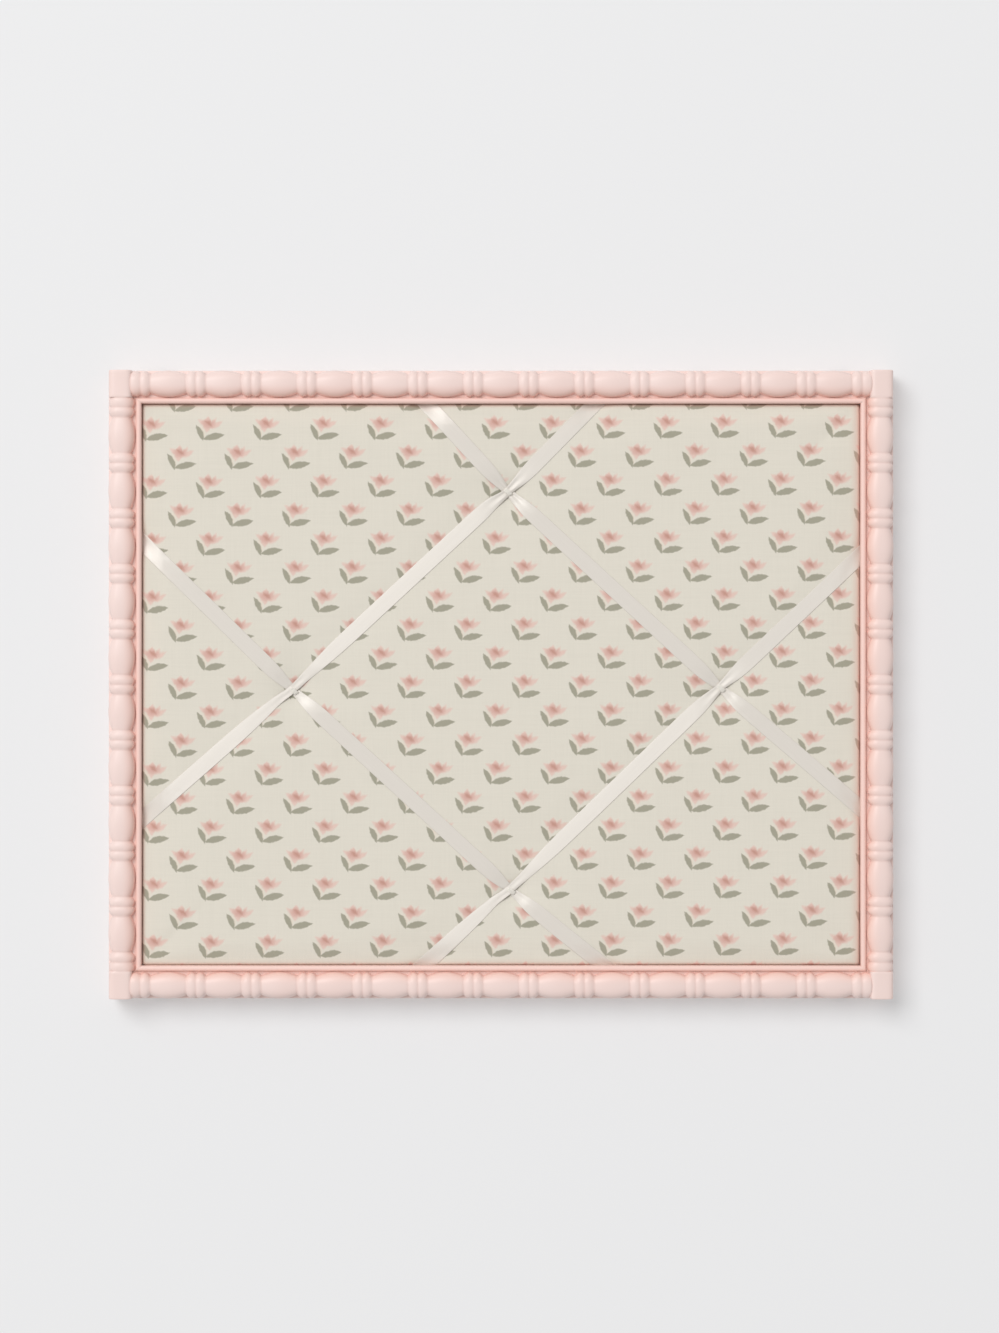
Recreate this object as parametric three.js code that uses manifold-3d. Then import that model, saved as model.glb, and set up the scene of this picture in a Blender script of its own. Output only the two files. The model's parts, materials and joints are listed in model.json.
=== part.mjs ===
// French memo board: a turned bobbin frame around a padded, cloth-covered panel laced with satin ribbon.
// Millimetres. +X is to the right, +Z is up and the front faces -Y. The origin is on the wall, behind
// the middle of the board. Inside the board group, y = 0 is the back face of the frame.
import * as THREE from "three";
import { mergeVertices } from "three/addons/utils/BufferGeometryUtils.js";
import Module from "manifold-3d";

const wasm = await Module();
wasm.setup();

// Driving dimensions: frame and its split turnings
const FRAME_WIDTH = 508;
const FRAME_HEIGHT = 406.4;
const BARREL_RADIUS = 8.75;
const BARREL_LENGTH = 22.8;
const BARREL_STEPS = 4;
const NECK_RADIUS = 6.3;
const BEAD_RADIUS = 8.5;
const BEAD_LENGTH = 6.5;
const BEAD_STEPS = 3;
const BEAD_GROOVE_RADIUS = 7.4;
const CORNER_BLOCK_RADIUS = 7;
const STILE_BLOCK_LENGTH = 17.7;
const RAIL_END_LENGTH = 14.8;
const TURNING_SIDES = 10;
const SIGHT_BEAD_WIDTH = 4.2;
const SIGHT_BEAD_RISE = 0.8;
const SIGHT_BEAD_STEPS = 4;
const RABBET_WIDTH = 6;
const LIP_DEPTH = 3;
const GLUE_LINE = 0.3;

// Driving dimensions: corner fasteners driven in from the back
const NAIL_LEG = 8;
const NAIL_THICKNESS = 0.6;
const NAIL_DEPTH = 6;
const NAIL_INSET = 5.5;

// Driving dimensions: padded panel
const COVER_THICKNESS = 2.5;
const COVER_CLEARANCE = 0.5;
const BOARD_THICKNESS = 3;
const FABRIC_THICKNESS = 0.5;
const FABRIC_TURN_OVER = 25;
const PAD_EDGE = 2;
const PAD_EDGE_DROP = 1.3;
const PAD_CROWN = 7;
const PAD_ROLL_WIDTH = 30;
const TUFT_DEPTH = 2.2;
const TUFT_RADIUS = 14;
const LAYER_GAP = 0.3;
const PANEL_CLEARANCE = 0.7;

// Facets of the pad: creases across its rolled edge, and grid lines around a tuft in tuft radii
const ROLL_CREASES = [1, 0.5, 0];
const TUFT_LINES = [-1.1, -0.4, 0.4, 1.1];

// Where the cloth is felt for under a ribbon: shares of its half width, and steps along it
const SEAT_SHARES = [1, 0.5, 0];
const SEAT_STEPS = [-0.5, 0, 0.5];

// Driving dimensions: ribbons, tie stitches and staples
const RIBBON_WIDTH = 10;
const RIBBON_PINCH_WIDTH = 4.6;
const RIBBON_PINCH_REACH = 9;
const RIBBON_THICKNESS = 0.4;
const RIBBON_TURN_OVER = 21;
const RIBBON_STEP = 5;
const FLAT_RUN_SKIP = 4;
const RIBBON_LIFT_REACH = 15;
const STITCH_WIDTH = 2.4;
const STITCH_THICKNESS = 0.6;
const STAPLE_CROWN = 8;
const STAPLE_WIRE = 0.5;
const STAPLE_BITE = 2.2;
const STAPLE_INSET = 10;

// Driving dimensions: turn buttons and hangers on the back, with their screws
const BUTTON_LENGTH = 20;
const BUTTON_WIDTH = 9;
const BUTTON_THICKNESS = 1;
const BUTTON_INSET = 8;
const BUTTON_SPREAD = 130;
const SCREW_SHANK_RADIUS = 1.5;
const SCREW_HEAD_RADIUS = 3.1;
const SCREW_HEAD_HEIGHT = 1.8;
const SCREW_HEAD_EDGE = 1;
const SCREW_BITE = 9;
const SCREW_TIP = 2.5;
const SCREW_SIDES = 10;
const SCREW_CLEARANCE = 0.3;
const STRAP_WIDTH = 10;
const STRAP_SHEET = 0.7;
const STRAP_INSET = 1.5;
const STRAP_SCREW_REACH = 5;
const STRAP_EYE_REACH = 12.3;
const HANGER_HEIGHT = 95;
const WIRE_RADIUS = 1;
const WIRE_SIDES = 8;
const WIRE_CLEARANCE = 0.25;
const LOOP_INNER_WIDTH = 14;
const LOOP_STRAIGHT = 5;
const LOOP_BOW_STEPS = 10;
const BUMPER_RADIUS = 5.55;
const BUMPER_HEIGHT = 5.1;
const BUMPER_EDGE = 1.2;
const BUMPER_SIDES = 14;
const BUMPER_INSET = 8;
const BUMPER_CORNER_REACH = 32;

// Where the ribbons cross: how far in from the panel's edge, and how far aside from its middle line
const TOP_CROSSING_INSET = 60.4;
const TOP_CROSSING_ASIDE = 4.7;
const LEFT_CROSSING_INSET = 101.7;
const LEFT_CROSSING_ASIDE = -4.2;
const RIGHT_CROSSING_INSET = 93.1;
const RIGHT_CROSSING_ASIDE = -2.7;
const BOTTOM_CROSSING_INSET = 51.2;
const BOTTOM_CROSSING_ASIDE = 6.8;

// Each ribbon's two crossings, and where its ends go over the panel edges beside them, along those edges
const RIBBONS = [
  { name: "ribbon_left_to_top", over: true, via: ["left", "top"], ends: [-89.7, 62] },
  { name: "ribbon_bottom_to_right", over: true, via: ["bottom", "right"], ends: [-53, 84.8] },
  { name: "ribbon_top_to_right", over: false, via: ["top", "right"], ends: [-52, -83.6] },
  { name: "ribbon_left_to_bottom", over: false, via: ["left", "bottom"], ends: [96.6, 71.5] },
];

// Sizes that follow from the ones above: depth, from the back face forward
const boardBackY = -(COVER_THICKNESS + LAYER_GAP + STAPLE_WIRE + RIBBON_THICKNESS + FABRIC_THICKNESS);
const boardFrontY = boardBackY - BOARD_THICKNESS;
const padFrontLayers = FABRIC_THICKNESS + RIBBON_THICKNESS + 3 * LAYER_GAP;
const rabbetDepth = PAD_EDGE + padFrontLayers - boardFrontY;
const baseDepth = rabbetDepth + LIP_DEPTH;

// Sizes that follow: across the frame's face, from the outer edge inward
const sightBeadStart = 2 * BARREL_RADIUS + GLUE_LINE;
const faceWidth = sightBeadStart + SIGHT_BEAD_WIDTH;
const pocketInset = faceWidth - RABBET_WIDTH;
const panelSideLayers = PANEL_CLEARANCE + RIBBON_THICKNESS + FABRIC_THICKNESS + 2 * LAYER_GAP;
const boardHalfWidth = FRAME_WIDTH / 2 - pocketInset - panelSideLayers;
const boardHalfHeight = FRAME_HEIGHT / 2 - pocketInset - panelSideLayers;
const lipCover = RABBET_WIDTH - panelSideLayers;
const clothLayers = LAYER_GAP + FABRIC_THICKNESS;
const tuftReach = 2 * TUFT_RADIUS;

const CROSSINGS = {
  top: new THREE.Vector2(TOP_CROSSING_ASIDE, boardHalfHeight - TOP_CROSSING_INSET),
  left: new THREE.Vector2(LEFT_CROSSING_INSET - boardHalfWidth, LEFT_CROSSING_ASIDE),
  right: new THREE.Vector2(boardHalfWidth - RIGHT_CROSSING_INSET, RIGHT_CROSSING_ASIDE),
  bottom: new THREE.Vector2(BOTTOM_CROSSING_ASIDE, BOTTOM_CROSSING_INSET - boardHalfHeight),
};

// Colours and finishes
const PINK_PAINT = { color: 0xecd2cb, roughness: 0.42, metalness: 0 };
const HARDBOARD = { color: 0x8a6a4c, roughness: 0.8, metalness: 0 };
const BATTING = { color: 0xf2f0ea, roughness: 1, metalness: 0 };
const PRINTED_COTTON = { color: 0xdfd8cc, roughness: 0.9, metalness: 0 };
const SATIN = { color: 0xeeeae3, roughness: 0.35, metalness: 0 };
const THREAD = { color: 0xf0ece4, roughness: 0.7, metalness: 0 };
const ZINC = { color: 0xb9bcc0, roughness: 0.35, metalness: 1 };
const RUBBER = { color: 0x4a4a4c, roughness: 0.7, metalness: 0 };

function piece(name, geometry, finish) {
  const mesh = new THREE.Mesh(geometry, new THREE.MeshStandardMaterial(finish));
  mesh.name = name;
  return mesh;
}

// A closed geometry as a solid that can be cut
function toSolid(geometry) {
  geometry.deleteAttribute("normal");
  geometry.deleteAttribute("uv");
  const merged = mergeVertices(geometry);
  return new wasm.Manifold(new wasm.Mesh({
    numProp: 3,
    vertProperties: new Float32Array(merged.attributes.position.array),
    triVerts: new Uint32Array(merged.index.array),
  }));
}

function toGeometry(solid) {
  const mesh = solid.getMesh();
  const geometry = new THREE.BufferGeometry();
  geometry.setAttribute("position", new THREE.BufferAttribute(mesh.vertProperties, 3));
  geometry.setIndex(new THREE.BufferAttribute(mesh.triVerts, 1));
  geometry.computeVertexNormals();
  return geometry;
}

function cut(geometry, tools) {
  let solid = toSolid(geometry);
  for (const tool of tools) {
    solid = solid.subtract(toSolid(tool.clone()));
  }
  return toGeometry(solid);
}

// A geometry from points and triangles worked out by a loop
function facets(points, triangles) {
  const geometry = new THREE.BufferGeometry();
  geometry.setFromPoints(points);
  geometry.setIndex(triangles);
  geometry.computeVertexNormals();
  return geometry;
}

// A section in (inward, depth) drawn out along X, its middle at x = 0
function drawnAlongX(section, length, steps) {
  const settings = { depth: length, bevelEnabled: false, curveSegments: steps };
  const geometry = new THREE.ExtrudeGeometry(section, settings);
  return geometry.rotateY(-Math.PI / 2).translate(length / 2, 0, 0);
}

// A flat outline in (x, z), given a thickness behind y = 0
function plate(outline, thickness, steps) {
  const settings = { depth: thickness, bevelEnabled: false, curveSegments: steps };
  const geometry = new THREE.ExtrudeGeometry(outline, settings);
  return geometry.rotateX(Math.PI / 2).translate(0, thickness, 0);
}

// A round tool along Y, from one depth to another, that cuts a hole
function hole(x, z, radius, from, to) {
  const geometry = new THREE.CylinderGeometry(radius, radius, to - from, SCREW_SIDES);
  return geometry.translate(x, (from + to) / 2, z);
}

// The four sides. Each is drawn as the bottom one, along X with the middle of the board at the origin,
// and turned into place: length runs along the side, reach goes from the middle out to its outer edge.
const SIDES = {
  bottom: { turn: 0, length: FRAME_WIDTH, reach: FRAME_HEIGHT / 2 },
  left: { turn: Math.PI / 2, length: FRAME_HEIGHT, reach: FRAME_WIDTH / 2 },
  top: { turn: Math.PI, length: FRAME_WIDTH, reach: FRAME_HEIGHT / 2 },
  right: { turn: -Math.PI / 2, length: FRAME_HEIGHT, reach: FRAME_WIDTH / 2 },
};
const STILES = ["left", "right"];

// Base moulding: flat back, rabbet for the panel and a rounded bead along the sight edge
function baseSection() {
  const section = new THREE.Shape();
  const beadHalf = SIGHT_BEAD_WIDTH / 2;
  section.moveTo(0, 0);
  section.lineTo(0, -baseDepth);
  section.lineTo(sightBeadStart, -baseDepth);
  section.absellipse(sightBeadStart + beadHalf, -baseDepth, beadHalf, SIGHT_BEAD_RISE, Math.PI, 2 * Math.PI);
  section.lineTo(faceWidth, -rabbetDepth);
  section.lineTo(pocketInset, -rabbetDepth);
  section.lineTo(pocketInset, 0);
  section.closePath();
  return section;
}

function mitredBase(side) {
  const geometry = drawnAlongX(baseSection(), side.length, SIGHT_BEAD_STEPS);
  const position = geometry.attributes.position;
  for (let i = 0; i < position.count; i += 1) {
    const end = Math.sign(position.getX(i));
    const inward = position.getZ(i);
    position.setX(i, end * (side.length / 2 - inward - GLUE_LINE / 2));
  }
  return geometry.translate(0, 0, -side.reach);
}

// Corner fastener: an angled steel strip whose bend sits on the mitre
function cornerNail(side, end, margin) {
  const half = NAIL_THICKNESS / 2 + margin;
  const leg = NAIL_LEG + margin;
  const outline = new THREE.Shape();
  outline.moveTo(-half, -half);
  outline.lineTo(leg, -half);
  outline.lineTo(leg, half);
  outline.lineTo(half, half);
  outline.lineTo(half, leg);
  outline.lineTo(-half, leg);
  outline.closePath();
  const geometry = plate(outline, NAIL_DEPTH + 2 * margin, 1);
  if (end > 0) {
    geometry.rotateY(-Math.PI / 2);
  }
  const x = end * (side.length / 2 - NAIL_INSET);
  return geometry.translate(x, -NAIL_DEPTH - margin, NAIL_INSET - side.reach);
}

// A swelling turned between two radii, from the last point of the profile onward
function addSwelling(profile, length, topRadius, lastRadius, steps) {
  const first = profile[profile.length - 1];
  for (let step = 1; step <= steps; step += 1) {
    const angle = (Math.PI * step) / steps;
    const along = (1 - Math.cos(angle)) / 2;
    const floor = first.x + (lastRadius - first.x) * along;
    const radius = floor + (topRadius - floor) * Math.sin(angle);
    profile.push(new THREE.Vector2(radius, first.y + length * along));
  }
}

function addBeadPair(profile) {
  addSwelling(profile, BEAD_LENGTH, BEAD_RADIUS, BEAD_GROOVE_RADIUS, BEAD_STEPS);
  addSwelling(profile, BEAD_LENGTH, BEAD_RADIUS, NECK_RADIUS, BEAD_STEPS);
}

// Split turning: pairs of beads with a barrel between each two. A stile keeps a plain block at each corner,
// and a rail is cut to fit against the stiles' blocks. The barrels' length is fitted, so that whole ones
// fill the side.
function splitTurning(side, isStile) {
  const pairLength = 2 * BEAD_LENGTH;
  const turned = side.length - 2 * (isStile ? STILE_BLOCK_LENGTH : RAIL_END_LENGTH);
  const barrels = Math.round((turned - pairLength) / (pairLength + BARREL_LENGTH));
  const barrelLength = (turned - pairLength) / barrels - pairLength;
  const blockEnd = isStile ? side.length / 2 : turned / 2;
  const profile = [new THREE.Vector2(0, -blockEnd)];
  if (isStile) {
    profile.push(new THREE.Vector2(CORNER_BLOCK_RADIUS, -blockEnd));
    profile.push(new THREE.Vector2(CORNER_BLOCK_RADIUS, -turned / 2));
  }
  profile.push(new THREE.Vector2(NECK_RADIUS, -turned / 2));
  addBeadPair(profile);
  for (let barrel = 0; barrel < barrels; barrel += 1) {
    addSwelling(profile, barrelLength, BARREL_RADIUS, NECK_RADIUS, BARREL_STEPS);
    addBeadPair(profile);
  }
  if (isStile) {
    profile.push(new THREE.Vector2(CORNER_BLOCK_RADIUS, turned / 2));
    profile.push(new THREE.Vector2(CORNER_BLOCK_RADIUS, blockEnd));
  }
  profile.push(new THREE.Vector2(0, blockEnd));
  const whole = new THREE.LatheGeometry(profile, TURNING_SIDES).rotateZ(Math.PI / 2);
  const toolSize = 4 * BARREL_RADIUS;
  const backHalf = new THREE.BoxGeometry(side.length + toolSize, toolSize, toolSize);
  const tools = [backHalf.translate(0, toolSize / 2, 0)];
  if (!isStile) {
    const coped = CORNER_BLOCK_RADIUS + GLUE_LINE;
    for (const end of [-1, 1]) {
      const block = new THREE.CylinderGeometry(coped, coped, toolSize, 2 * TURNING_SIDES);
      tools.push(block.rotateX(Math.PI / 2).translate(end * (side.length / 2 - BARREL_RADIUS), 0, 0));
    }
  }
  return cut(whole, tools).translate(0, -baseDepth, BARREL_RADIUS - side.reach);
}

// Padded panel: how far the pad stands in front of the board, with its rolled edges and sewn tufts
function swell(inset) {
  return THREE.MathUtils.smoothstep(inset, lipCover, lipCover + PAD_ROLL_WIDTH);
}

function padThickness(x, z) {
  const insetX = boardHalfWidth - Math.abs(x);
  const insetZ = boardHalfHeight - Math.abs(z);
  if (Math.min(insetX, insetZ) <= 0) {
    return PAD_EDGE - PAD_EDGE_DROP;
  }
  let thickness = PAD_EDGE + (PAD_CROWN - PAD_EDGE) * swell(insetX) * swell(insetZ);
  for (const crossing of Object.values(CROSSINGS)) {
    const distance = crossing.distanceTo(new THREE.Vector2(x, z));
    thickness -= TUFT_DEPTH * Math.exp(-((distance / TUFT_RADIUS) ** 2));
  }
  return thickness;
}

// Grid lines across the panel: its outline, the creases of its rolled edge and the lines around each tuft
function gridLines(half, outlineOut, tuftCentres) {
  const lines = [-half - outlineOut, half + outlineOut];
  for (const share of ROLL_CREASES) {
    const inset = lipCover + share * PAD_ROLL_WIDTH;
    lines.push(inset - half, half - inset);
  }
  for (const centre of tuftCentres) {
    for (const share of TUFT_LINES) {
      lines.push(centre + share * TUFT_RADIUS);
    }
  }
  return lines.sort((a, b) => a - b);
}

function panelGrid(outlineOut) {
  const { top, left, right, bottom } = CROSSINGS;
  return {
    xs: gridLines(boardHalfWidth, outlineOut, [left.x, (top.x + bottom.x) / 2, right.x]),
    zs: gridLines(boardHalfHeight, outlineOut, [bottom.y, (left.y + right.y) / 2, top.y]),
  };
}

// A closed block over the panel's grid: a flat back, and a front that follows the pad with layers laid on it
function paddedBlock(outlineOut, layers, backY) {
  const { xs, zs } = panelGrid(outlineOut);
  const frontY = (x, z) => boardFrontY - padThickness(x, z) - layers;
  const points = zs.flatMap((z) => xs.map((x) => new THREE.Vector3(x, frontY(x, z), z)));
  const at = (column, row) => row * xs.length + column;
  const triangles = [];
  const rim = [];
  const lastColumn = xs.length - 1;
  const lastRow = zs.length - 1;
  for (let row = 0; row < lastRow; row += 1) {
    for (let column = 0; column < lastColumn; column += 1) {
      const corner = at(column + 1, row + 1);
      triangles.push(at(column, row), at(column + 1, row), corner);
      triangles.push(at(column, row), corner, at(column, row + 1));
    }
  }
  for (let column = 0; column < lastColumn; column += 1) {
    rim.push(at(column, 0));
  }
  for (let row = 0; row < lastRow; row += 1) {
    rim.push(at(lastColumn, row));
  }
  for (let column = lastColumn; column > 0; column -= 1) {
    rim.push(at(column, lastRow));
  }
  for (let row = lastRow; row > 0; row -= 1) {
    rim.push(at(0, row));
  }
  const firstBack = points.length;
  for (const index of rim) {
    points.push(points[index].clone().setY(backY));
  }
  const middle = points.push(new THREE.Vector3(0, backY, 0)) - 1;
  rim.forEach((front, i) => {
    const next = (i + 1) % rim.length;
    triangles.push(front, firstBack + i, firstBack + next);
    triangles.push(front, firstBack + next, rim[next]);
    triangles.push(middle, firstBack + next, firstBack + i);
  });
  return facets(points, triangles);
}

// The front of the cloth as its facets lie, at a point of the panel
const clothGrid = panelGrid(clothLayers);

function cellOf(lines, value) {
  let cell = 0;
  while (cell < lines.length - 2 && lines[cell + 1] < value) {
    cell += 1;
  }
  const low = lines[cell];
  const high = lines[cell + 1];
  return { low, high, share: (value - low) / (high - low) };
}

function clothFrontY(x, z) {
  const across = cellOf(clothGrid.xs, x);
  const up = cellOf(clothGrid.zs, z);
  const first = padThickness(across.low, up.low);
  const last = padThickness(across.high, up.high);
  const lower = across.share >= up.share;
  const third = lower ? padThickness(across.high, up.low) : padThickness(across.low, up.high);
  const slopeX = lower ? third - first : last - third;
  const slopeZ = lower ? last - third : third - first;
  return boardFrontY - clothLayers - (first + slopeX * across.share + slopeZ * up.share);
}

// Cloth cover: over the front of the pad, round the board's edges and onto its back
function clothCover() {
  const inside = paddedBlock(LAYER_GAP, LAYER_GAP, boardBackY);
  const across = 2 * (boardHalfWidth - FABRIC_TURN_OVER);
  const tall = 2 * (boardHalfHeight - FABRIC_TURN_OVER);
  const window = new THREE.BoxGeometry(across, 2 * BOARD_THICKNESS, tall).translate(0, boardBackY, 0);
  return cut(paddedBlock(clothLayers, clothLayers, boardBackY + FABRIC_THICKNESS), [inside, window]);
}

// Directions of the four panel edges: outward, along, and how far the board reaches outward
const EDGES = {
  left: { out: new THREE.Vector2(-1, 0), along: new THREE.Vector2(0, 1), half: boardHalfWidth },
  right: { out: new THREE.Vector2(1, 0), along: new THREE.Vector2(0, 1), half: boardHalfWidth },
  top: { out: new THREE.Vector2(0, 1), along: new THREE.Vector2(1, 0), half: boardHalfHeight },
  bottom: { out: new THREE.Vector2(0, -1), along: new THREE.Vector2(1, 0), half: boardHalfHeight },
};

function edgePoint(edge, outward, along) {
  return edge.out.clone().multiplyScalar(edge.half + outward).addScaledVector(edge.along, along);
}

function pinchedWidth(distance) {
  const drawnIn = (RIBBON_WIDTH - RIBBON_PINCH_WIDTH) * Math.exp(-((distance / RIBBON_PINCH_REACH) ** 2));
  return RIBBON_WIDTH - drawnIn;
}

// A ribbon is a row of lines across it. Each has the left and right point of its inner face, and the way
// to its outer face. This one is square across the ribbon on the front: it lies on the highest cloth near it,
// and the upper ribbon is lifted over the lower one at a crossing.
function frontLine(centre, direction, distance, isOver) {
  const acrossWay = new THREE.Vector2(-direction.y, direction.x);
  const lift = isOver ? 1 - THREE.MathUtils.smoothstep(distance, RIBBON_WIDTH / 2, RIBBON_LIFT_REACH) : 0;
  const gap = LAYER_GAP + lift * (RIBBON_THICKNESS + LAYER_GAP);
  const reach = pinchedWidth(distance) / 2;
  const ends = [reach, -reach].map((offset) => {
    let y = Infinity;
    for (const share of SEAT_SHARES) {
      for (const step of SEAT_STEPS) {
        const near = centre.clone().addScaledVector(acrossWay, offset * share);
        near.addScaledVector(direction, step * RIBBON_STEP);
        y = Math.min(y, clothFrontY(near.x, near.y));
      }
    }
    const end = centre.clone().addScaledVector(acrossWay, offset);
    return new THREE.Vector3(end.x, y - gap, end.y);
  });
  return { left: ends[0], right: ends[1], outer: new THREE.Vector3(0, -RIBBON_THICKNESS, 0) };
}

// The lines of a ribbon from a crossing out over a panel edge and onto the back
function ribbonEnd(crossing, edgeName, along, isOver) {
  const edge = EDGES[edgeName];
  const direction = edgePoint(edge, 0, along).sub(crossing).normalize();
  const outward = direction.dot(edge.out);
  const slant = direction.dot(edge.along) / outward;
  const leftWay = Math.sign(edge.along.dot(new THREE.Vector2(-direction.y, direction.x)));
  const reach = (leftWay * RIBBON_WIDTH) / 2 / outward;
  const lines = [];
  const rollInset = lipCover + PAD_ROLL_WIDTH;
  const run = edgePoint(edge, -rollInset, along - slant * rollInset).distanceTo(crossing);
  let distance = RIBBON_STEP;
  while (distance < run - RIBBON_WIDTH) {
    const centre = crossing.clone().addScaledVector(direction, distance);
    lines.push(frontLine(centre, direction, distance, isOver));
    distance += distance > tuftReach ? FLAT_RUN_SKIP * RIBBON_STEP : RIBBON_STEP;
  }
  const parallelLine = (past, outwardBy, y, outer) => {
    const ends = [reach, -reach].map((offset) => {
      const end = edgePoint(edge, outwardBy, along + slant * past + offset);
      return new THREE.Vector3(end.x, y, end.y);
    });
    lines.push({ left: ends[0], right: ends[1], outer });
  };
  const frontWay = new THREE.Vector3(0, -RIBBON_THICKNESS, 0);
  const backWay = new THREE.Vector3(0, RIBBON_THICKNESS, 0);
  const outWay = new THREE.Vector3(edge.out.x, 0, edge.out.y).multiplyScalar(RIBBON_THICKNESS);
  const seatY = boardFrontY - clothLayers - LAYER_GAP;
  for (const share of ROLL_CREASES) {
    const inset = lipCover + share * PAD_ROLL_WIDTH;
    const middle = edgePoint(edge, -inset, along - slant * inset);
    const thickness = PAD_EDGE + (PAD_CROWN - PAD_EDGE) * swell(inset);
    const y = Math.min(seatY - thickness, clothFrontY(middle.x, middle.y) - LAYER_GAP);
    parallelLine(-inset, -inset, y, frontWay);
  }
  const sideOut = clothLayers + LAYER_GAP;
  const cornerY = seatY - PAD_EDGE + PAD_EDGE_DROP;
  const backY = boardBackY + FABRIC_THICKNESS;
  const sideLength = backY - cornerY;
  parallelLine(sideOut, sideOut, cornerY, outWay.clone().add(frontWay));
  parallelLine(sideOut + sideLength, sideOut, backY, outWay.clone().add(backWay));
  const turned = sideOut + sideLength + RIBBON_TURN_OVER;
  parallelLine(turned, sideOut - RIBBON_TURN_OVER, backY, backWay);
  const stapleAlong = along + slant * (sideOut + sideLength + STAPLE_INSET);
  return { lines, staple: edgePoint(edge, sideOut - STAPLE_INSET, stapleAlong) };
}

// A closed strip through a ribbon's lines
function ribbonStrip(lines) {
  const points = [];
  const triangles = [];
  for (const line of lines) {
    points.push(line.left, line.right, line.left.clone().add(line.outer), line.right.clone().add(line.outer));
  }
  const quad = (a, b, c, d) => triangles.push(a, b, c, a, c, d);
  for (let i = 0; i < lines.length - 1; i += 1) {
    const [li, ri, lo, ro] = [0, 1, 2, 3].map((corner) => 4 * i + corner);
    const [nextLi, nextRi, nextLo, nextRo] = [4, 5, 6, 7].map((corner) => 4 * i + corner);
    quad(ro, nextRo, nextLo, lo);
    quad(ri, li, nextLi, nextRi);
    quad(li, lo, nextLo, nextLi);
    quad(ri, nextRi, nextRo, ro);
  }
  const last = 4 * (lines.length - 1);
  quad(0, 1, 3, 2);
  quad(last, last + 2, last + 3, last + 1);
  return facets(points, triangles);
}

// A whole ribbon: one end, its two crossings and the other end
function ribbon(spec) {
  const [start, finish] = spec.via.map((name) => CROSSINGS[name]);
  const [first, last] = spec.via.map((edge, i) => ribbonEnd(CROSSINGS[edge], edge, spec.ends[i], spec.over));
  const turned = ({ left, right, outer }) => ({ left: right, right: left, outer });
  const lines = first.lines.reverse().map(turned);
  const direction = finish.clone().sub(start).normalize();
  const span = finish.distanceTo(start);
  const steps = Math.round(span / RIBBON_STEP);
  for (let step = 0; step <= steps; step += 1) {
    const along = (span * step) / steps;
    const distance = Math.min(along, span - along);
    const centre = start.clone().addScaledVector(direction, along);
    const isKept = distance < tuftReach || step % FLAT_RUN_SKIP === 0;
    if (isKept) {
      lines.push(frontLine(centre, direction, distance, spec.over));
    }
  }
  lines.push(...last.lines);
  return { geometry: ribbonStrip(lines), staples: [first.staple, last.staple] };
}

// Tie stitch: a band of thread over the upper ribbon, through the panel and across its back
const stitchReach = RIBBON_PINCH_WIDTH / 2 + LAYER_GAP + STITCH_THICKNESS / 2;

function stitchTurn(crossingName) {
  const lower = RIBBONS.find((spec) => !spec.over && spec.via.includes(crossingName));
  const [start, finish] = lower.via.map((name) => CROSSINGS[name]);
  return Math.atan2(start.y - finish.y, finish.x - start.x);
}

function stitch(crossing) {
  const overRibbons = 2 * (RIBBON_THICKNESS + LAYER_GAP) + LAYER_GAP;
  const frontY = clothFrontY(crossing.x, crossing.y) - overRibbons;
  const backY = boardBackY + LAYER_GAP;
  const outline = new THREE.Shape();
  const outer = stitchReach + STITCH_THICKNESS / 2;
  const inner = stitchReach - STITCH_THICKNESS / 2;
  outline.moveTo(-outer, frontY - STITCH_THICKNESS);
  outline.lineTo(outer, frontY - STITCH_THICKNESS);
  outline.lineTo(outer, backY + STITCH_THICKNESS);
  outline.lineTo(-outer, backY + STITCH_THICKNESS);
  outline.closePath();
  const loop = new THREE.Path();
  loop.moveTo(-inner, frontY);
  loop.lineTo(-inner, backY);
  loop.lineTo(inner, backY);
  loop.lineTo(inner, frontY);
  loop.closePath();
  outline.holes.push(loop);
  const geometry = new THREE.ExtrudeGeometry(outline, { depth: STITCH_WIDTH, bevelEnabled: false });
  return geometry.translate(0, 0, -STITCH_WIDTH / 2);
}

function stitchSlots(name) {
  const crossing = CROSSINGS[name];
  const slotLength = STITCH_THICKNESS + 2 * LAYER_GAP;
  const slotWidth = STITCH_WIDTH + 2 * LAYER_GAP;
  return [-stitchReach, stitchReach].map((offset) => {
    const slot = new THREE.BoxGeometry(slotLength, 4 * baseDepth, slotWidth).translate(offset, 0, 0);
    return slot.rotateY(stitchTurn(name)).translate(crossing.x, 0, crossing.y);
  });
}

// Staple: its crown lies on the ribbon and its legs go through the cloth into the board
const stapleSeatY = boardBackY + FABRIC_THICKNESS + RIBBON_THICKNESS;
const stapleTipY = boardBackY - STAPLE_BITE;

function staple() {
  const half = STAPLE_CROWN / 2;
  const inner = half - STAPLE_WIRE;
  const outline = new THREE.Shape();
  outline.moveTo(-half, stapleSeatY + STAPLE_WIRE);
  outline.lineTo(-half, stapleTipY);
  outline.lineTo(-inner, stapleTipY);
  outline.lineTo(-inner, stapleSeatY);
  outline.lineTo(inner, stapleSeatY);
  outline.lineTo(inner, stapleTipY);
  outline.lineTo(half, stapleTipY);
  outline.lineTo(half, stapleSeatY + STAPLE_WIRE);
  outline.closePath();
  const geometry = new THREE.ExtrudeGeometry(outline, { depth: STAPLE_WIRE, bevelEnabled: false });
  return geometry.translate(0, 0, -STAPLE_WIRE / 2);
}

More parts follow.
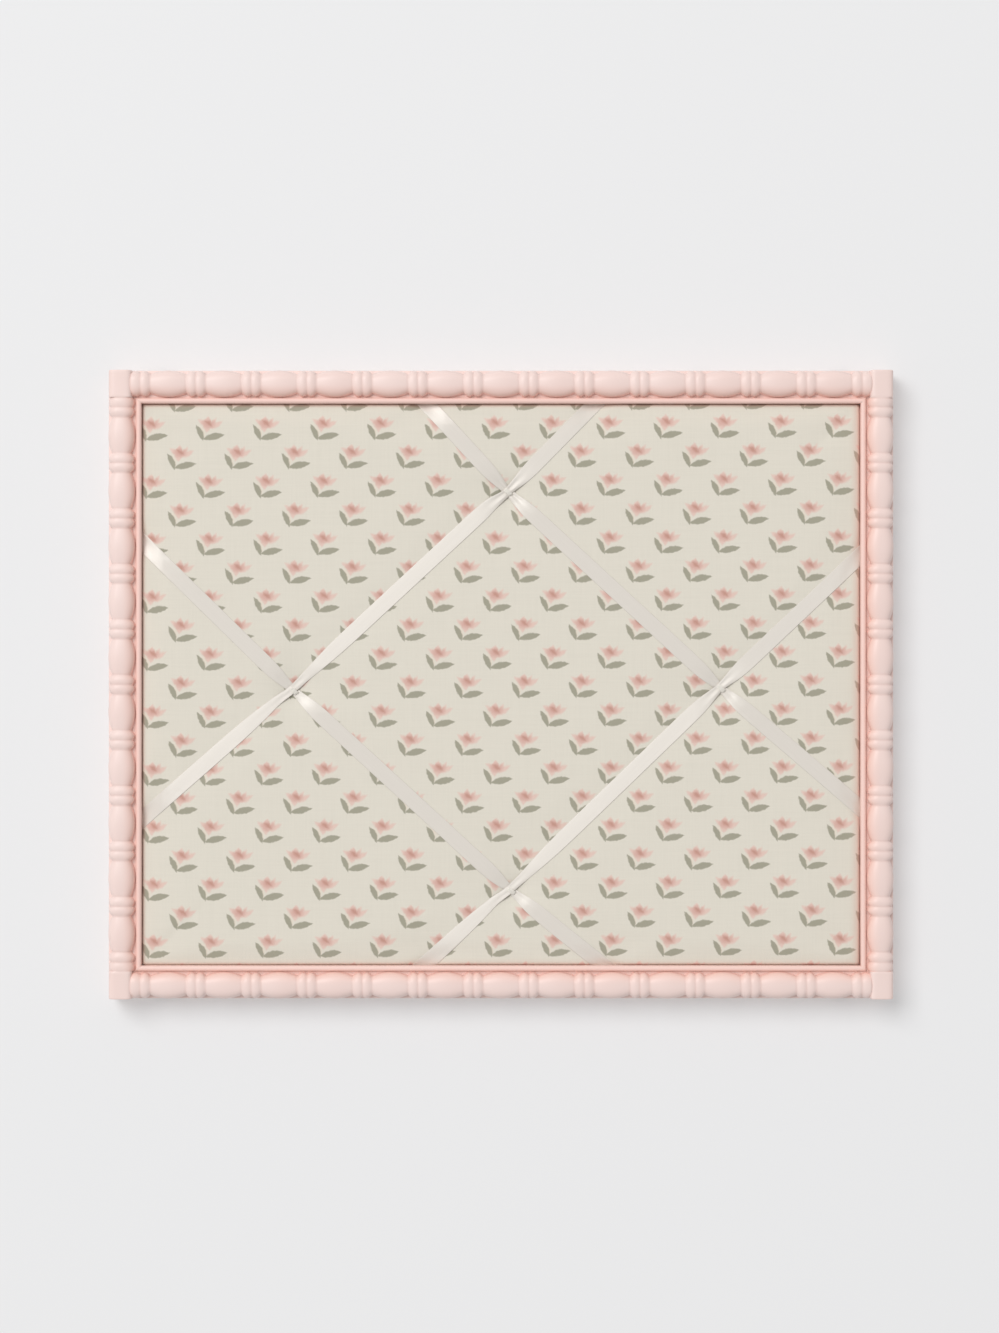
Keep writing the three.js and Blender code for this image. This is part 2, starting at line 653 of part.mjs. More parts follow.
function stapleHoles(place, turn) {
  const side = STAPLE_WIRE + 2 * LAYER_GAP;
  const bottomY = stapleTipY - LAYER_GAP;
  return [-1, 1].map((end) => {
    const box = new THREE.BoxGeometry(side, -bottomY, side);
    box.translate((end * (STAPLE_CROWN - STAPLE_WIRE)) / 2, bottomY / 2, 0);
    return box.rotateY(turn).translate(place.x, 0, place.y);
  });
}

// Screw with a domed head that sits on y = seat
function screw(seat) {
  const tip = -SCREW_BITE;
  const profile = [
    new THREE.Vector2(0, tip),
    new THREE.Vector2(SCREW_SHANK_RADIUS, tip + SCREW_TIP),
    new THREE.Vector2(SCREW_SHANK_RADIUS, seat),
    new THREE.Vector2(SCREW_HEAD_RADIUS, seat),
    new THREE.Vector2(SCREW_HEAD_RADIUS, seat + SCREW_HEAD_HEIGHT - SCREW_HEAD_EDGE),
    new THREE.Vector2(SCREW_HEAD_RADIUS - SCREW_HEAD_EDGE, seat + SCREW_HEAD_HEIGHT),
    new THREE.Vector2(0, seat + SCREW_HEAD_HEIGHT),
  ];
  return new THREE.LatheGeometry(profile, SCREW_SIDES);
}

const screwHoleRadius = SCREW_SHANK_RADIUS + SCREW_CLEARANCE;

function pilotHole(x, inset, side) {
  return hole(x, inset - side.reach, screwHoleRadius, -SCREW_BITE - SCREW_CLEARANCE, baseDepth);
}

// Turn button: a flat strip with round ends that swings about its screw to hold the back cover in
function turnButton() {
  const half = BUTTON_WIDTH / 2;
  const outline = new THREE.Shape();
  outline.absarc(0, 0, half, Math.PI, 2 * Math.PI);
  outline.absarc(0, BUTTON_LENGTH - BUTTON_WIDTH, half, 0, Math.PI);
  outline.closePath();
  const geometry = plate(outline, BUTTON_THICKNESS, SCREW_SIDES / 2);
  return cut(geometry, [hole(0, 0, screwHoleRadius, -BUTTON_THICKNESS, 2 * BUTTON_THICKNESS)]);
}

// Hanger strap: sheet folded back on itself round the loop's bar, with a screw through both leaves
const strapThickness = 2 * STRAP_SHEET;
const eyeInner = WIRE_RADIUS + WIRE_CLEARANCE;
const eyeOuter = eyeInner + STRAP_SHEET;
const eyeInset = STRAP_INSET + STRAP_EYE_REACH;
const strapScrewInset = STRAP_INSET + STRAP_SCREW_REACH;

function hangerStrap() {
  const section = new THREE.Shape();
  const meetAngle = Math.PI + Math.asin((eyeOuter - strapThickness) / eyeOuter);
  section.moveTo(STRAP_INSET, 0);
  section.lineTo(eyeInset, 0);
  section.absarc(eyeInset, eyeOuter, eyeOuter, -Math.PI / 2, meetAngle);
  section.lineTo(STRAP_INSET, strapThickness);
  section.closePath();
  const eye = new THREE.Path();
  eye.absarc(eyeInset, eyeOuter, eyeInner, 0, 2 * Math.PI);
  section.holes.push(eye);
  const geometry = drawnAlongX(section, STRAP_WIDTH, SCREW_SIDES);
  return cut(geometry, [hole(0, strapScrewInset, screwHoleRadius, -strapThickness, 2 * strapThickness)]);
}

// Hanger loop: round wire bent to a D, its straight bar along X through the strap's eye
function hangerLoop() {
  const bow = LOOP_INNER_WIDTH / 2 + WIRE_RADIUS;
  const path = [new THREE.Vector2(-bow, 0), new THREE.Vector2(bow, 0)];
  for (let step = 0; step <= LOOP_BOW_STEPS; step += 1) {
    const angle = (Math.PI * step) / LOOP_BOW_STEPS;
    path.push(new THREE.Vector2(bow * Math.cos(angle), LOOP_STRAIGHT + bow * Math.sin(angle)));
  }
  const points = [];
  const triangles = [];
  path.forEach((point, i) => {
    const before = path[(i + path.length - 1) % path.length];
    const after = path[(i + 1) % path.length];
    const wayIn = point.clone().sub(before).normalize();
    const wayOut = after.clone().sub(point).normalize();
    const outward = new THREE.Vector2(wayIn.y + wayOut.y, -wayIn.x - wayOut.x).normalize();
    const stretch = 1 / (outward.x * wayIn.y - outward.y * wayIn.x);
    for (let corner = 0; corner < WIRE_SIDES; corner += 1) {
      const angle = (2 * Math.PI * corner) / WIRE_SIDES;
      const sideways = WIRE_RADIUS * Math.cos(angle) * stretch;
      const ring = point.clone().addScaledVector(outward, sideways);
      points.push(new THREE.Vector3(ring.x, WIRE_RADIUS * Math.sin(angle), ring.y));
      const [a, b] = [corner, (corner + 1) % WIRE_SIDES].map((side) => i * WIRE_SIDES + side);
      const [c, d] = [a, b].map((index) => (index + WIRE_SIDES) % (path.length * WIRE_SIDES));
      triangles.push(a, d, c, a, b, d);
    }
  });
  return facets(points, triangles);
}

// Rubber bumper with a rounded edge
function bumper() {
  const profile = [
    new THREE.Vector2(0, 0),
    new THREE.Vector2(BUMPER_RADIUS, 0),
    new THREE.Vector2(BUMPER_RADIUS, BUMPER_HEIGHT - BUMPER_EDGE),
    new THREE.Vector2(BUMPER_RADIUS - BUMPER_EDGE, BUMPER_HEIGHT),
    new THREE.Vector2(0, BUMPER_HEIGHT),
  ];
  return new THREE.LatheGeometry(profile, BUMPER_SIDES);
}

// What is fastened to each side: places of the turn buttons, hanger and bumpers along it
const FITTINGS = {
  bottom: { buttons: [-BUTTON_SPREAD, BUTTON_SPREAD], hangers: [], hasBumpers: true },
  left: { buttons: [0], hangers: [-HANGER_HEIGHT], hasBumpers: false },
  top: { buttons: [-BUTTON_SPREAD, BUTTON_SPREAD], hangers: [], hasBumpers: true },
  right: { buttons: [0], hangers: [HANGER_HEIGHT], hasBumpers: false },
};

// One side of the frame with everything that is fastened to it
function frameSide(name) {
  const side = SIDES[name];
  const { buttons, hangers, hasBumpers } = FITTINGS[name];
  const group = new THREE.Group();
  group.rotation.y = side.turn;
  const isStile = STILES.includes(name);
  const cuts = [cornerNail(side, -1, LAYER_GAP), cornerNail(side, 1, LAYER_GAP)];
  for (const x of buttons) {
    cuts.push(pilotHole(x, BUTTON_INSET, side));
  }
  for (const x of hangers) {
    cuts.push(pilotHole(x, strapScrewInset, side));
  }
  group.add(piece(`base_${name}`, cut(mitredBase(side), cuts), PINK_PAINT));
  group.add(piece(`turning_${name}_${isStile ? "stile" : "rail"}`, splitTurning(side, isStile), PINK_PAINT));
  group.add(piece(`corner_nail_${name}`, cornerNail(side, -1, 0), ZINC));
  const place = (mesh, x, y, inset) => {
    mesh.position.set(x, y, inset - side.reach);
    group.add(mesh);
  };
  buttons.forEach((x, i) => {
    const label = buttons.length > 1 ? `${name}_${i + 1}` : name;
    place(piece(`turn_button_${label}`, turnButton(), ZINC), x, LAYER_GAP, BUTTON_INSET);
    const seat = BUTTON_THICKNESS + 2 * LAYER_GAP;
    place(piece(`turn_button_screw_${label}`, screw(seat), ZINC), x, 0, BUTTON_INSET);
  });
  for (const x of hangers) {
    place(piece(`hanger_strap_${name}`, hangerStrap(), ZINC), x, 0, 0);
    place(piece(`hanger_loop_${name}`, hangerLoop(), ZINC), x, eyeOuter, eyeInset);
    place(piece(`hanger_screw_${name}`, screw(strapThickness), ZINC), x, 0, strapScrewInset);
  }
  if (hasBumpers) {
    [-1, 1].forEach((end, i) => {
      const x = end * (side.length / 2 - BUMPER_CORNER_REACH);
      place(piece(`bumper_${name}_${i + 1}`, bumper(), RUBBER), x, 0, BUMPER_INSET);
    });
  }
  return group;
}

// The padded panel with its ribbons, stitches and staples, and the cover behind it
function panel() {
  const group = new THREE.Group();
  const names = Object.keys(CROSSINGS);
  const slots = names.flatMap((name) => stitchSlots(name));
  const stapleCuts = [];
  for (const spec of RIBBONS) {
    const made = ribbon(spec);
    const cuts = spec.over ? [] : spec.via.flatMap((name) => stitchSlots(name));
    made.staples.forEach((at, i) => {
      const edgeName = spec.via[i];
      const turn = SIDES[edgeName].turn;
      const holes = stapleHoles(at, turn);
      cuts.push(...holes);
      stapleCuts.push(...holes);
      const mesh = piece(`staple_${spec.name}_${edgeName}`, staple(), ZINC);
      mesh.position.set(at.x, 0, at.y);
      mesh.rotation.y = turn;
      group.add(mesh);
    });
    group.add(piece(spec.name, cut(made.geometry, cuts), SATIN));
  }
  const board = new THREE.BoxGeometry(2 * boardHalfWidth, BOARD_THICKNESS, 2 * boardHalfHeight);
  board.translate(0, (boardBackY + boardFrontY) / 2, 0);
  group.add(piece("panel_board", cut(board, [...slots, ...stapleCuts]), HARDBOARD));
  group.add(piece("padding", cut(paddedBlock(0, 0, boardFrontY), slots), BATTING));
  group.add(piece("fabric_cover", cut(clothCover(), [...slots, ...stapleCuts]), PRINTED_COTTON));
  for (const name of names) {
    const mesh = piece(`tie_stitch_${name}`, stitch(CROSSINGS[name]), THREAD);
    mesh.position.set(CROSSINGS[name].x, 0, CROSSINGS[name].y);
    mesh.rotation.y = stitchTurn(name);
    group.add(mesh);
  }
  const coverInset = pocketInset + COVER_CLEARANCE;
  const coverWidth = FRAME_WIDTH - 2 * coverInset;
  const coverHeight = FRAME_HEIGHT - 2 * coverInset;
  const cover = new THREE.BoxGeometry(coverWidth, COVER_THICKNESS, coverHeight);
  group.add(piece("back_cover", cover.translate(0, -COVER_THICKNESS / 2, 0), HARDBOARD));
  return group;
}

const memoBoard = new THREE.Group();
memoBoard.position.y = -BUMPER_HEIGHT;
for (const name of Object.keys(SIDES)) {
  memoBoard.add(frameSide(name));
}
memoBoard.add(panel());

export default memoBoard;
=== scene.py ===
# %% [markdown]
# A padded memo board hangs on a wall. It has a pink frame of split turnings, a padded panel under
# sprigged cotton, and four satin ribbons that are tied down where they cross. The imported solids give
# each place and size in one frame: x to the right, z up, and the front towards minus y. This file dresses
# them. A solid whose shape is right keeps its place and gets a finish, and a finer piece stands in for
# each of the others.

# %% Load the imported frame
import functools
import json
import math

import bmesh
import bpy
import numpy as np
from mathutils import Matrix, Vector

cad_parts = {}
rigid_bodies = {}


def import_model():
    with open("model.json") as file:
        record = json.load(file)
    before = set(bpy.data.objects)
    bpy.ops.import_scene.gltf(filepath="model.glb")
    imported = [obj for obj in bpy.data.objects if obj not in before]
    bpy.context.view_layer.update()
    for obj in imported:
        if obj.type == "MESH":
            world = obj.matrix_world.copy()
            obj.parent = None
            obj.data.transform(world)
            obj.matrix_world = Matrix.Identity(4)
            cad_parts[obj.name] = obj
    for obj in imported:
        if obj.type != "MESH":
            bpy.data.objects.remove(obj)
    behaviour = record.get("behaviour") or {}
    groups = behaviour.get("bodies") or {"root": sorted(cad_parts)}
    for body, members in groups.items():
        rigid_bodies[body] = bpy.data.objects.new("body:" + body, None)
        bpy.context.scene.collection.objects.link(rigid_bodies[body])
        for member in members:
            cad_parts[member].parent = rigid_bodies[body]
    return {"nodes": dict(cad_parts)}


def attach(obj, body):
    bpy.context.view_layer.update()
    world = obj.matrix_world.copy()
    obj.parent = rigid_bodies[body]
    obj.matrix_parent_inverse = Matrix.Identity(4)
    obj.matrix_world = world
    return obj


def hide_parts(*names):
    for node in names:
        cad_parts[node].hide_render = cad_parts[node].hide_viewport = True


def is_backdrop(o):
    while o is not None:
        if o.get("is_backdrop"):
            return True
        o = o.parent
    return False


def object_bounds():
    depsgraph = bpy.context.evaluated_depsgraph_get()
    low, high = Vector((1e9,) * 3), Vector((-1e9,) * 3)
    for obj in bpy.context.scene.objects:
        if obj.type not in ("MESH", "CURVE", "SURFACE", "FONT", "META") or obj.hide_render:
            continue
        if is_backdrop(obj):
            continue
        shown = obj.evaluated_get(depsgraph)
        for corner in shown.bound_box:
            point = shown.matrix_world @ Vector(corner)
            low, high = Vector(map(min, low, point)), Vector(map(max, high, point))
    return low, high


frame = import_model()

MM = 0.001
scene = bpy.context.scene
cad_low, cad_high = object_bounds()

# %% [markdown]
# A finish is a small graph of nodes, and graphs made one socket at a time are hard to read. So one class
# wraps an output socket and lets sums be written as Python sums. Each operator adds a Math node. Every
# other node comes from one method, which sets the node's own choices first and its sockets after that.

# %% Sums on sockets
class Wire:
    """An output socket of a node tree. Operators on it add Math nodes to the tree."""

    def __init__(self, tree, socket=None):
        self.tree = tree
        self.socket = socket

    def node(self, kind, settings=None, inputs=None, output=0):
        """Add a node with its settings, then its sockets' values or links, and give one output."""
        made = self.tree.nodes.new(kind)
        for name, value in (settings or {}).items():
            setattr(made, name, value)
        for name, value in (inputs or {}).items():
            if isinstance(value, Wire):
                self.tree.links.new(value.socket, made.inputs[name])
            else:
                made.inputs[name].default_value = value
        return Wire(self.tree, made.outputs[output] if len(made.outputs) else None)

    def math(self, operation, *values):
        return self.node("ShaderNodeMath", {"operation": operation}, dict(enumerate(values)))

    def __add__(self, other):
        return self.math("ADD", self, other)

    def __sub__(self, other):
        return self.math("SUBTRACT", self, other)

    def __rsub__(self, other):
        return self.math("SUBTRACT", other, self)

    def __mul__(self, other):
        return self.math("MULTIPLY", self, other)

    def __truediv__(self, other):
        return self.math("DIVIDE", self, other)

    def __rtruediv__(self, other):
        return self.math("DIVIDE", other, self)

    def __pow__(self, other):
        return self.math("POWER", self, other)

    def __rpow__(self, other):
        return self.math("POWER", other, self)

    def __abs__(self):
        return self.math("ABSOLUTE", self)

    __radd__ = __add__
    __rmul__ = __mul__

    def clamped(self):
        return self.node("ShaderNodeClamp", None, {0: self})

    def larger(self, other):
        return self.math("MAXIMUM", self, other)

    def sees(self, *rays):
        """1 for a ray of any of these kinds, such as Camera or Glossy."""
        return largest(self.node("ShaderNodeLightPath", output=f"Is {ray} Ray") for ray in rays)

    def read(self, name, output="Fac"):
        """A value or a vector that is stored on the points of a piece."""
        return self.node("ShaderNodeAttribute", {"attribute_name": name}, output=output)

    def place(self):
        """The place of a point on its own object, in metres."""
        return self.node("ShaderNodeTexCoord", output="Object")

    def split(self, vector, *axes):
        return [self.node("ShaderNodeSeparateXYZ", None, {0: vector}, axis) for axis in axes]

    def noise(self, place, size, detail=3.0):
        """Cloudy values from 0 to 1 whose patches are about size metres across."""
        sockets = {"Vector": place, "Scale": 1 / size, "Detail": detail}
        return self.node("ShaderNodeTexNoise", None, sockets)

    def flat_noise(self, place, scale=1.0):
        """Cloudy values over a flat cut, whose third way doesn't count."""
        sockets = {"Vector": place, "Scale": scale, "Detail": 2.0}
        return self.node("ShaderNodeTexNoise", {"noise_dimensions": "2D"}, sockets)

    def streaks(self, x, z):
        """Noise that is drawn out along the way whose value changes more slowly."""
        return self.flat_noise(self.node("ShaderNodeCombineXYZ", None, {0: x, 1: z}))

    def tint(self, share, first, second):
        """A colour between two, by a share from 0 to 1."""
        return self.node("ShaderNodeMix", {"data_type": "RGBA"}, {0: share, 6: first, 7: second}, 2)

    def bump(self, height, distance, strength=1.0):
        sockets = {"Height": height, "Distance": distance, "Strength": strength}
        return self.node("ShaderNodeBump", None, sockets)


def largest(wires):
    return functools.reduce(Wire.larger, wires)


def new_finish(name):
    """An empty material and the wire that its nodes start from."""
    material = bpy.data.materials.new(name)
    material.use_nodes = True
    material.node_tree.nodes.clear()
    return material, Wire(material.node_tree)


print("wire and finish helpers ready")

# %% [markdown]
# The photograph looks straight at the board. Its scale is 0.6475 mm to a pixel on the frame's face, and the
# board's middle is 1.5 pixels right of the picture's middle and 18 below it. A long lens two metres
# away gives that view. The camera is moved aside instead of shifting its lens, because other views keep
# the shift.

# %% Camera
PIXEL = 0.6475 * MM
PICTURE_HEIGHT = 1333
ASIDE_PIXELS = -1.5
ABOVE_PIXELS = 18
LENS = 85
SENSOR = 36
FRAME_FACE = -19.1 * MM

camera_data = bpy.data.cameras.new("camera")
camera_data.lens = LENS
camera_data.sensor_width = SENSOR
camera = bpy.data.objects.new("camera", camera_data)
distance = PICTURE_HEIGHT * PIXEL * LENS / SENSOR
camera.location = (ASIDE_PIXELS * PIXEL, FRAME_FACE - distance, ABOVE_PIXELS * PIXEL)
camera.rotation_euler = (math.pi / 2, 0, 0)
scene.collection.objects.link(camera)
scene.camera = camera
scene.view_settings.view_transform = "Standard"
print("camera is", round(distance, 3), "m in front of the frame")

# %% [markdown]
# The stage is a pale wall. It has to catch the board's shadow, and yet not hide or darken the board when
# a view goes round behind it. So the wall is painted on its front only, and a lamp's own rays pass through
# it, while rays that look or bounce see it. Bounces also pass where the board itself hides the wall, or the
# fittings on the back would mirror a dark gap. A little glow in the paint lifts the shadow, as light from a
# whole pale room would.

# %% Wall
WALL_COLOUR = (0.83, 0.83, 0.835, 1)
WALL_GLOW = 0.25
WALL_HALF = 3.0
WALL_BEHIND = 0.3 * MM
HIDDEN_HALF = (254.0 * MM, 203.2 * MM)

wall_finish, wire = new_finish("wall_paint")
bounced = wire.sees("Diffuse", "Glossy", "Transmission")
across, upward = (abs(part) for part in wire.split(wire.place(), 0, 2))
beside = (across - HIDDEN_HALF[0]).larger(upward - HIDDEN_HALF[1])
seen = wire.sees("Camera").larger(bounced * (beside / MM).clamped())
seen = seen * (1 - wire.node("ShaderNodeNewGeometry", output="Backfacing"))
clear = wire.node("ShaderNodeBsdfTransparent")
matt = wire.node("ShaderNodeBsdfDiffuse", None, {"Color": WALL_COLOUR})
glow = wire.node("ShaderNodeEmission", None, {"Color": WALL_COLOUR, "Strength": 1.0})
painted = wire.node("ShaderNodeMixShader", None, {0: WALL_GLOW, 1: matt, 2: glow})
wall_shader = wire.node("ShaderNodeMixShader", None, {0: seen, 1: clear, 2: painted})
wire.node("ShaderNodeOutputMaterial", None, {"Surface": wall_shader})

wall_mesh = bpy.data.meshes.new("wall")
corners = [(-1, -1), (1, -1), (1, 1), (-1, 1)]
wall_points = [(WALL_HALF * x, WALL_BEHIND, WALL_HALF * z) for x, z in corners]
wall_mesh.from_pydata(wall_points, [], [(0, 1, 2, 3)])
wall_mesh.materials.append(wall_finish)
wall = bpy.data.objects.new("wall", wall_mesh)
scene.collection.objects.link(wall)
wall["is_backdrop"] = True
print("wall normal", tuple(wall_mesh.polygons[0].normal))

# %% [markdown]
# One wide, soft window of light comes from the upper left, about thirty degrees off straight ahead, which
# puts the shadow to the right and below. It stands far off, so that it lights the board evenly. An even sky
# fills the rest. A second soft light stands behind, so that the fittings on the back can be seen too. It
# makes no glints, because they would show as white specks along the frame's edge from the front. Instead the
# metal on the back mirrors a pale ceiling and a dark floor.

# %% Lights
WINDOW = {"place": (-3.9, -8.3, 3.9), "size": 5.4, "power": 620}
BACK_WINDOW = {"place": (1.2, 6.8, 1.8), "size": 4.0, "power": 230}
SKY_LEVEL = 0.52
SKY_SEEN = 0.82
FLOOR_SEEN = 0.1
FLOOR_EDGE = 0.25
BEHIND_EDGE = 3


def grey(value):
    return (value, value, value, 1)


def soft_light(name, place, size, power):
    data = bpy.data.lights.new(name, "AREA")
    data.size = size
    data.energy = power
    light = bpy.data.objects.new(name, data)
    light.location = place
    light.rotation_euler = (-light.location).to_track_quat("-Z", "Y").to_euler()
    scene.collection.objects.link(light)
    return light


soft_light("window", **WINDOW)
soft_light("back_window", **BACK_WINDOW).visible_glossy = False

scene.world = bpy.data.worlds.new("studio")
scene.world.use_nodes = True
scene.world.node_tree.nodes.clear()
sky = Wire(scene.world.node_tree)
seen = sky.sees("Camera", "Glossy", "Transmission")
fill, backdrop, dark_floor = (
    sky.node("ShaderNodeBackground", None, {"Color": grey(level), "Strength": strength})
    for level, strength in [(1, SKY_LEVEL), (SKY_SEEN, 1.0), (FLOOR_SEEN, 1.0)])
backward, upward = sky.split(sky.node("ShaderNodeTexCoord", output="Generated"), 1, 2)
mirrored = sky.sees("Glossy") * (backward * BEHIND_EDGE).clamped() * (FLOOR_EDGE - upward).clamped()
room = sky.node("ShaderNodeMixShader", None, {0: mirrored, 1: backdrop, 2: dark_floor})
sky_shader = sky.node("ShaderNodeMixShader", None, {0: seen, 1: fill, 2: room})
sky.node("ShaderNodeOutputWorld", None, {"Surface": sky_shader})
print("sky level", SKY_LEVEL)

# %% [markdown]
# Every piece is made from rows of points with a skin of faces over them. Lengths are in millimetres while
# a shape is worked out, as they are in the part's source, and y = 0 is the back of the frame. The four sides
# of the frame are alike, so a shape is worked out for the bottom side and turned to the others. The last
# step puts the points on the wall's frame in metres.

# %% Shape helpers
WALL_GAP = 5.1
FRAME_HALF = {"bottom": 203.2, "top": 203.2, "left": 254.0, "right": 254.0}
TURNS = {"bottom": 0, "left": 90, "top": 180, "right": -90}


def points_at(x, y, z):
    """Points from their three parts, which are numbers or arrays that fit together."""
    return np.stack(np.broadcast_arrays(x, y, z), axis=-1)


def turn_by(x, z, angle):
    """The two parts of a place after a turn by an angle in radians."""
    return x * math.cos(angle) + z * math.sin(angle), z * math.cos(angle) - x * math.sin(angle)


def on_wall(points):
    """Points of the board, in millimetres, as points of the scene."""
    return (np.asarray(points, float) - (0, WALL_GAP, 0)) * MM


def on_side(points, side):
    """Points worked out for the bottom side, as points of the scene on any side."""
    x, y, z = np.moveaxis(np.asarray(points, float), -1, 0)
    x, z = turn_by(x, z, math.radians(TURNS[side]))
    return on_wall(points_at(x, y, z))


def skin(rows, columns, around=True, along=False):
    """Faces over rows of points. Rows may close around, and the last row may join the first."""
    faces = []
    for i in range(rows if along else rows - 1):
        near, far = i * columns, (i + 1) % rows * columns
        for j in range(columns if around else columns - 1):
            k = (j + 1) % columns
            faces.append((near + j, near + k, far + k, far + j))
    if around and not along:
        faces.append(tuple(range(columns - 1, -1, -1)))
        faces.append(tuple(range((rows - 1) * columns, rows * columns)))
    return faces


def add_mesh(name, points, faces, finish, closed=True, crease=40):
    """A mesh object with a finish. Edges sharper than the crease angle stay sharp."""
    mesh = bpy.data.meshes.new(name)
    mesh.from_pydata(np.asarray(points).reshape(-1, 3).tolist(), [], faces)
    if closed:
        shape = bmesh.new()
        shape.from_mesh(mesh)
        bmesh.ops.recalc_face_normals(shape, faces=shape.faces)
        shape.to_mesh(mesh)
        shape.free()
    mesh.materials.append(finish)
    mesh.shade_smooth()
    mesh.set_sharp_from_angle(angle=math.radians(crease))
    made = bpy.data.objects.new(name, mesh)
    scene.collection.objects.link(made)
    return made


def add_on_side(name, rows, side, finish, crease, along=False):
    """A piece from rows of points that were worked out for the bottom side, put on any side."""
    faces = skin(*np.shape(rows)[:2], along=along)
    return add_mesh(name, on_side(rows, side), faces, finish, crease=crease)


def settle(made, node, body="board"):
    """Attach a piece to the body it moves with, and hide the solid that it stands in for."""
    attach(made, body)
    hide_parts(node)


def keep_values(made, name, values):
    """Store a number or a vector on each point of a mesh, for its finish to read."""
    values = np.asarray(values, np.float32)
    kind, part = ("FLOAT", "value") if values.ndim == 1 else ("FLOAT_VECTOR", "vector")
    made.data.attributes.new(name, kind, "POINT").data.foreach_set(part, values.ravel())


print("shape helpers ready")

# %% [markdown]
# The frame is wood under satin paint. Its grooves are painted darker and more pink than the crests: that
# is painted shade, with some paint pooled there as well. The sides of the turnings next to the lip, and the
# lip itself, are painted a warmer pink: that is painted pink light reflected between the pink surfaces, and
# on the lip partly its own tone. Two values on the points say where that is: one for the painted shade in
# the grooves, and one for the painted warm reflection beside the lip. Pale clouds, soft brush marks and a
# faint orange peel come from noise.

# %% Pink paint
PAINT = (0.84, 0.655, 0.607, 1)
PAINT_CREST = (0.87, 0.73, 0.69, 1)
# Colours for a painted warm pink reflection and for a painted shade in the grooves.
PAINT_BOUNCE_WARM = (0.90, 0.58, 0.50, 1)
PAINT_SHADE_POOLED = (0.64, 0.43, 0.38, 1)
CLOUD_SIZE = 45 * MM
BRUSH_SIZE = 6 * MM
PEEL_SIZE = 1.1 * MM


def show(wire, inputs):
    """End a material in the usual surface shader."""
    shader = wire.node("ShaderNodeBsdfPrincipled", None, inputs)
    wire.node("ShaderNodeOutputMaterial", None, {"Surface": shader})


def pink_paint():
    finish, wire = new_finish("pink_paint")
    place = wire.place()
    painted_shade_and_pooling, painted_bounce_warmth = wire.read("painted_shade_and_pooling"), wire.read("painted_bounce_warmth")
    clouds = wire.noise(place, CLOUD_SIZE)
    peel = wire.noise(place, PEEL_SIZE, 2.0)
    brush = wire.noise(place, BRUSH_SIZE)
    # Painted shade in the grooves, where some paint also pools, and a painted warm pink reflection beside the
    # lip.
    painted_shade_share = (painted_shade_and_pooling * 0.75 + (brush - 0.5) * 0.25 * painted_shade_and_pooling).clamped()
    colour = wire.tint((clouds - 0.35).clamped(), PAINT, PAINT_CREST)
    colour = wire.tint((painted_bounce_warmth + (brush - 0.5) * 0.2 * painted_bounce_warmth).clamped(), colour, PAINT_BOUNCE_WARM)
    colour = wire.tint(painted_shade_share, colour, PAINT_SHADE_POOLED)
    bump = wire.bump(peel * 0.6 + brush * 0.8, 0.12 * MM, 0.35)
    show(wire, {
        "Base Color": colour,
        "Roughness": 0.4 + painted_shade_and_pooling * 0.12 + (clouds - 0.5) * 0.14,
        "Specular IOR Level": 0.4,
        "Normal": bump,
    })
    return finish


paint = pink_paint()
print("paint nodes:", len(paint.node_tree.nodes))

# %% [markdown]
# Each side of the frame carries a turning that was split down its middle: pairs of round beads with a long
# barrel between each two. The radius is worked out along the side as for a lathe, then blurred a little,
# because paint rounds off the bottom of a groove. The face was sanded, so it is flatter than a half-round
# and its grooves are shallow. A power on the circle's sine and cosine gives the one, and a share of the
# relief the other. Stiles run through to the corners with a plain block at each end, and rails fit against
# those blocks.

# %% Split turnings
BASE_DEPTH = 14.0
BARREL_RADIUS = 8.75
NECK_RADIUS = 6.3
BEAD_RADIUS = 8.5
BEAD_GROOVE_RADIUS = 7.3
BEAD_FULLNESS = 0.7
BEAD_LEAN = 1.25
BEAD_LENGTH = 6.2
BEAD_POINTS = 33
BARREL_POINTS = 49
BLOCK_RADIUS = 8.2
BLOCK_GROOVE_RADIUS = 7.6
STILE_BLOCK = 18.0
RAIL_END = 14.9
PAINT_FILLET = 0.26
STATION = 0.5
ROUND_STEPS = 32
FACE_POWER = 2 / 2.8
BLOCK_POWER = 2 / 5
BLOCK_TRIM = 1.15
FACE_RELIEF = 0.42
SIDE_BOUNCE_WARMTH = 0.9
WARM_CURVE = 1.5
GROOVE_DIP = 0.6
GROOVE_BLUR = 0.8
SKIRT = 1.5
BLOCK_STEPS = np.array([0.15, 0.3, 0.9, 2, 4, STILE_BLOCK - 2, STILE_BLOCK - 0.9, STILE_BLOCK - 0.3])
BLOCK_ROUNDING = np.array([0.5, 0.2, 0, 0, 0, 0, 0, 0.2])
RAIL_TUCK = 1.5
TURNINGS = [("bottom", 13, False), ("top", 13, False), ("left", 10, True), ("right", 10, True)]


def bead(first, last):
    """Distances and radii of a bead between two grooves, which leans to the shallower one."""
    along = (1 - np.cos(np.linspace(0, math.pi, BEAD_POINTS)[1:])) / 2
    share = along ** BEAD_LEAN if first < last else 1 - (1 - along) ** BEAD_LEAN
    floor = first + (last - first) * along
    swell = np.abs(np.sin(math.pi * share)) ** BEAD_FULLNESS
    return BEAD_LENGTH * along, floor + (BEAD_RADIUS - floor) * swell


def barrel(length):
    """Distances and radii of a barrel, which bows evenly from groove to groove."""
    along = np.linspace(0, 1, BARREL_POINTS)[1:]
    return length * along, NECK_RADIUS + (BARREL_RADIUS - NECK_RADIUS) * (1 - (2 * along - 1) ** 2)


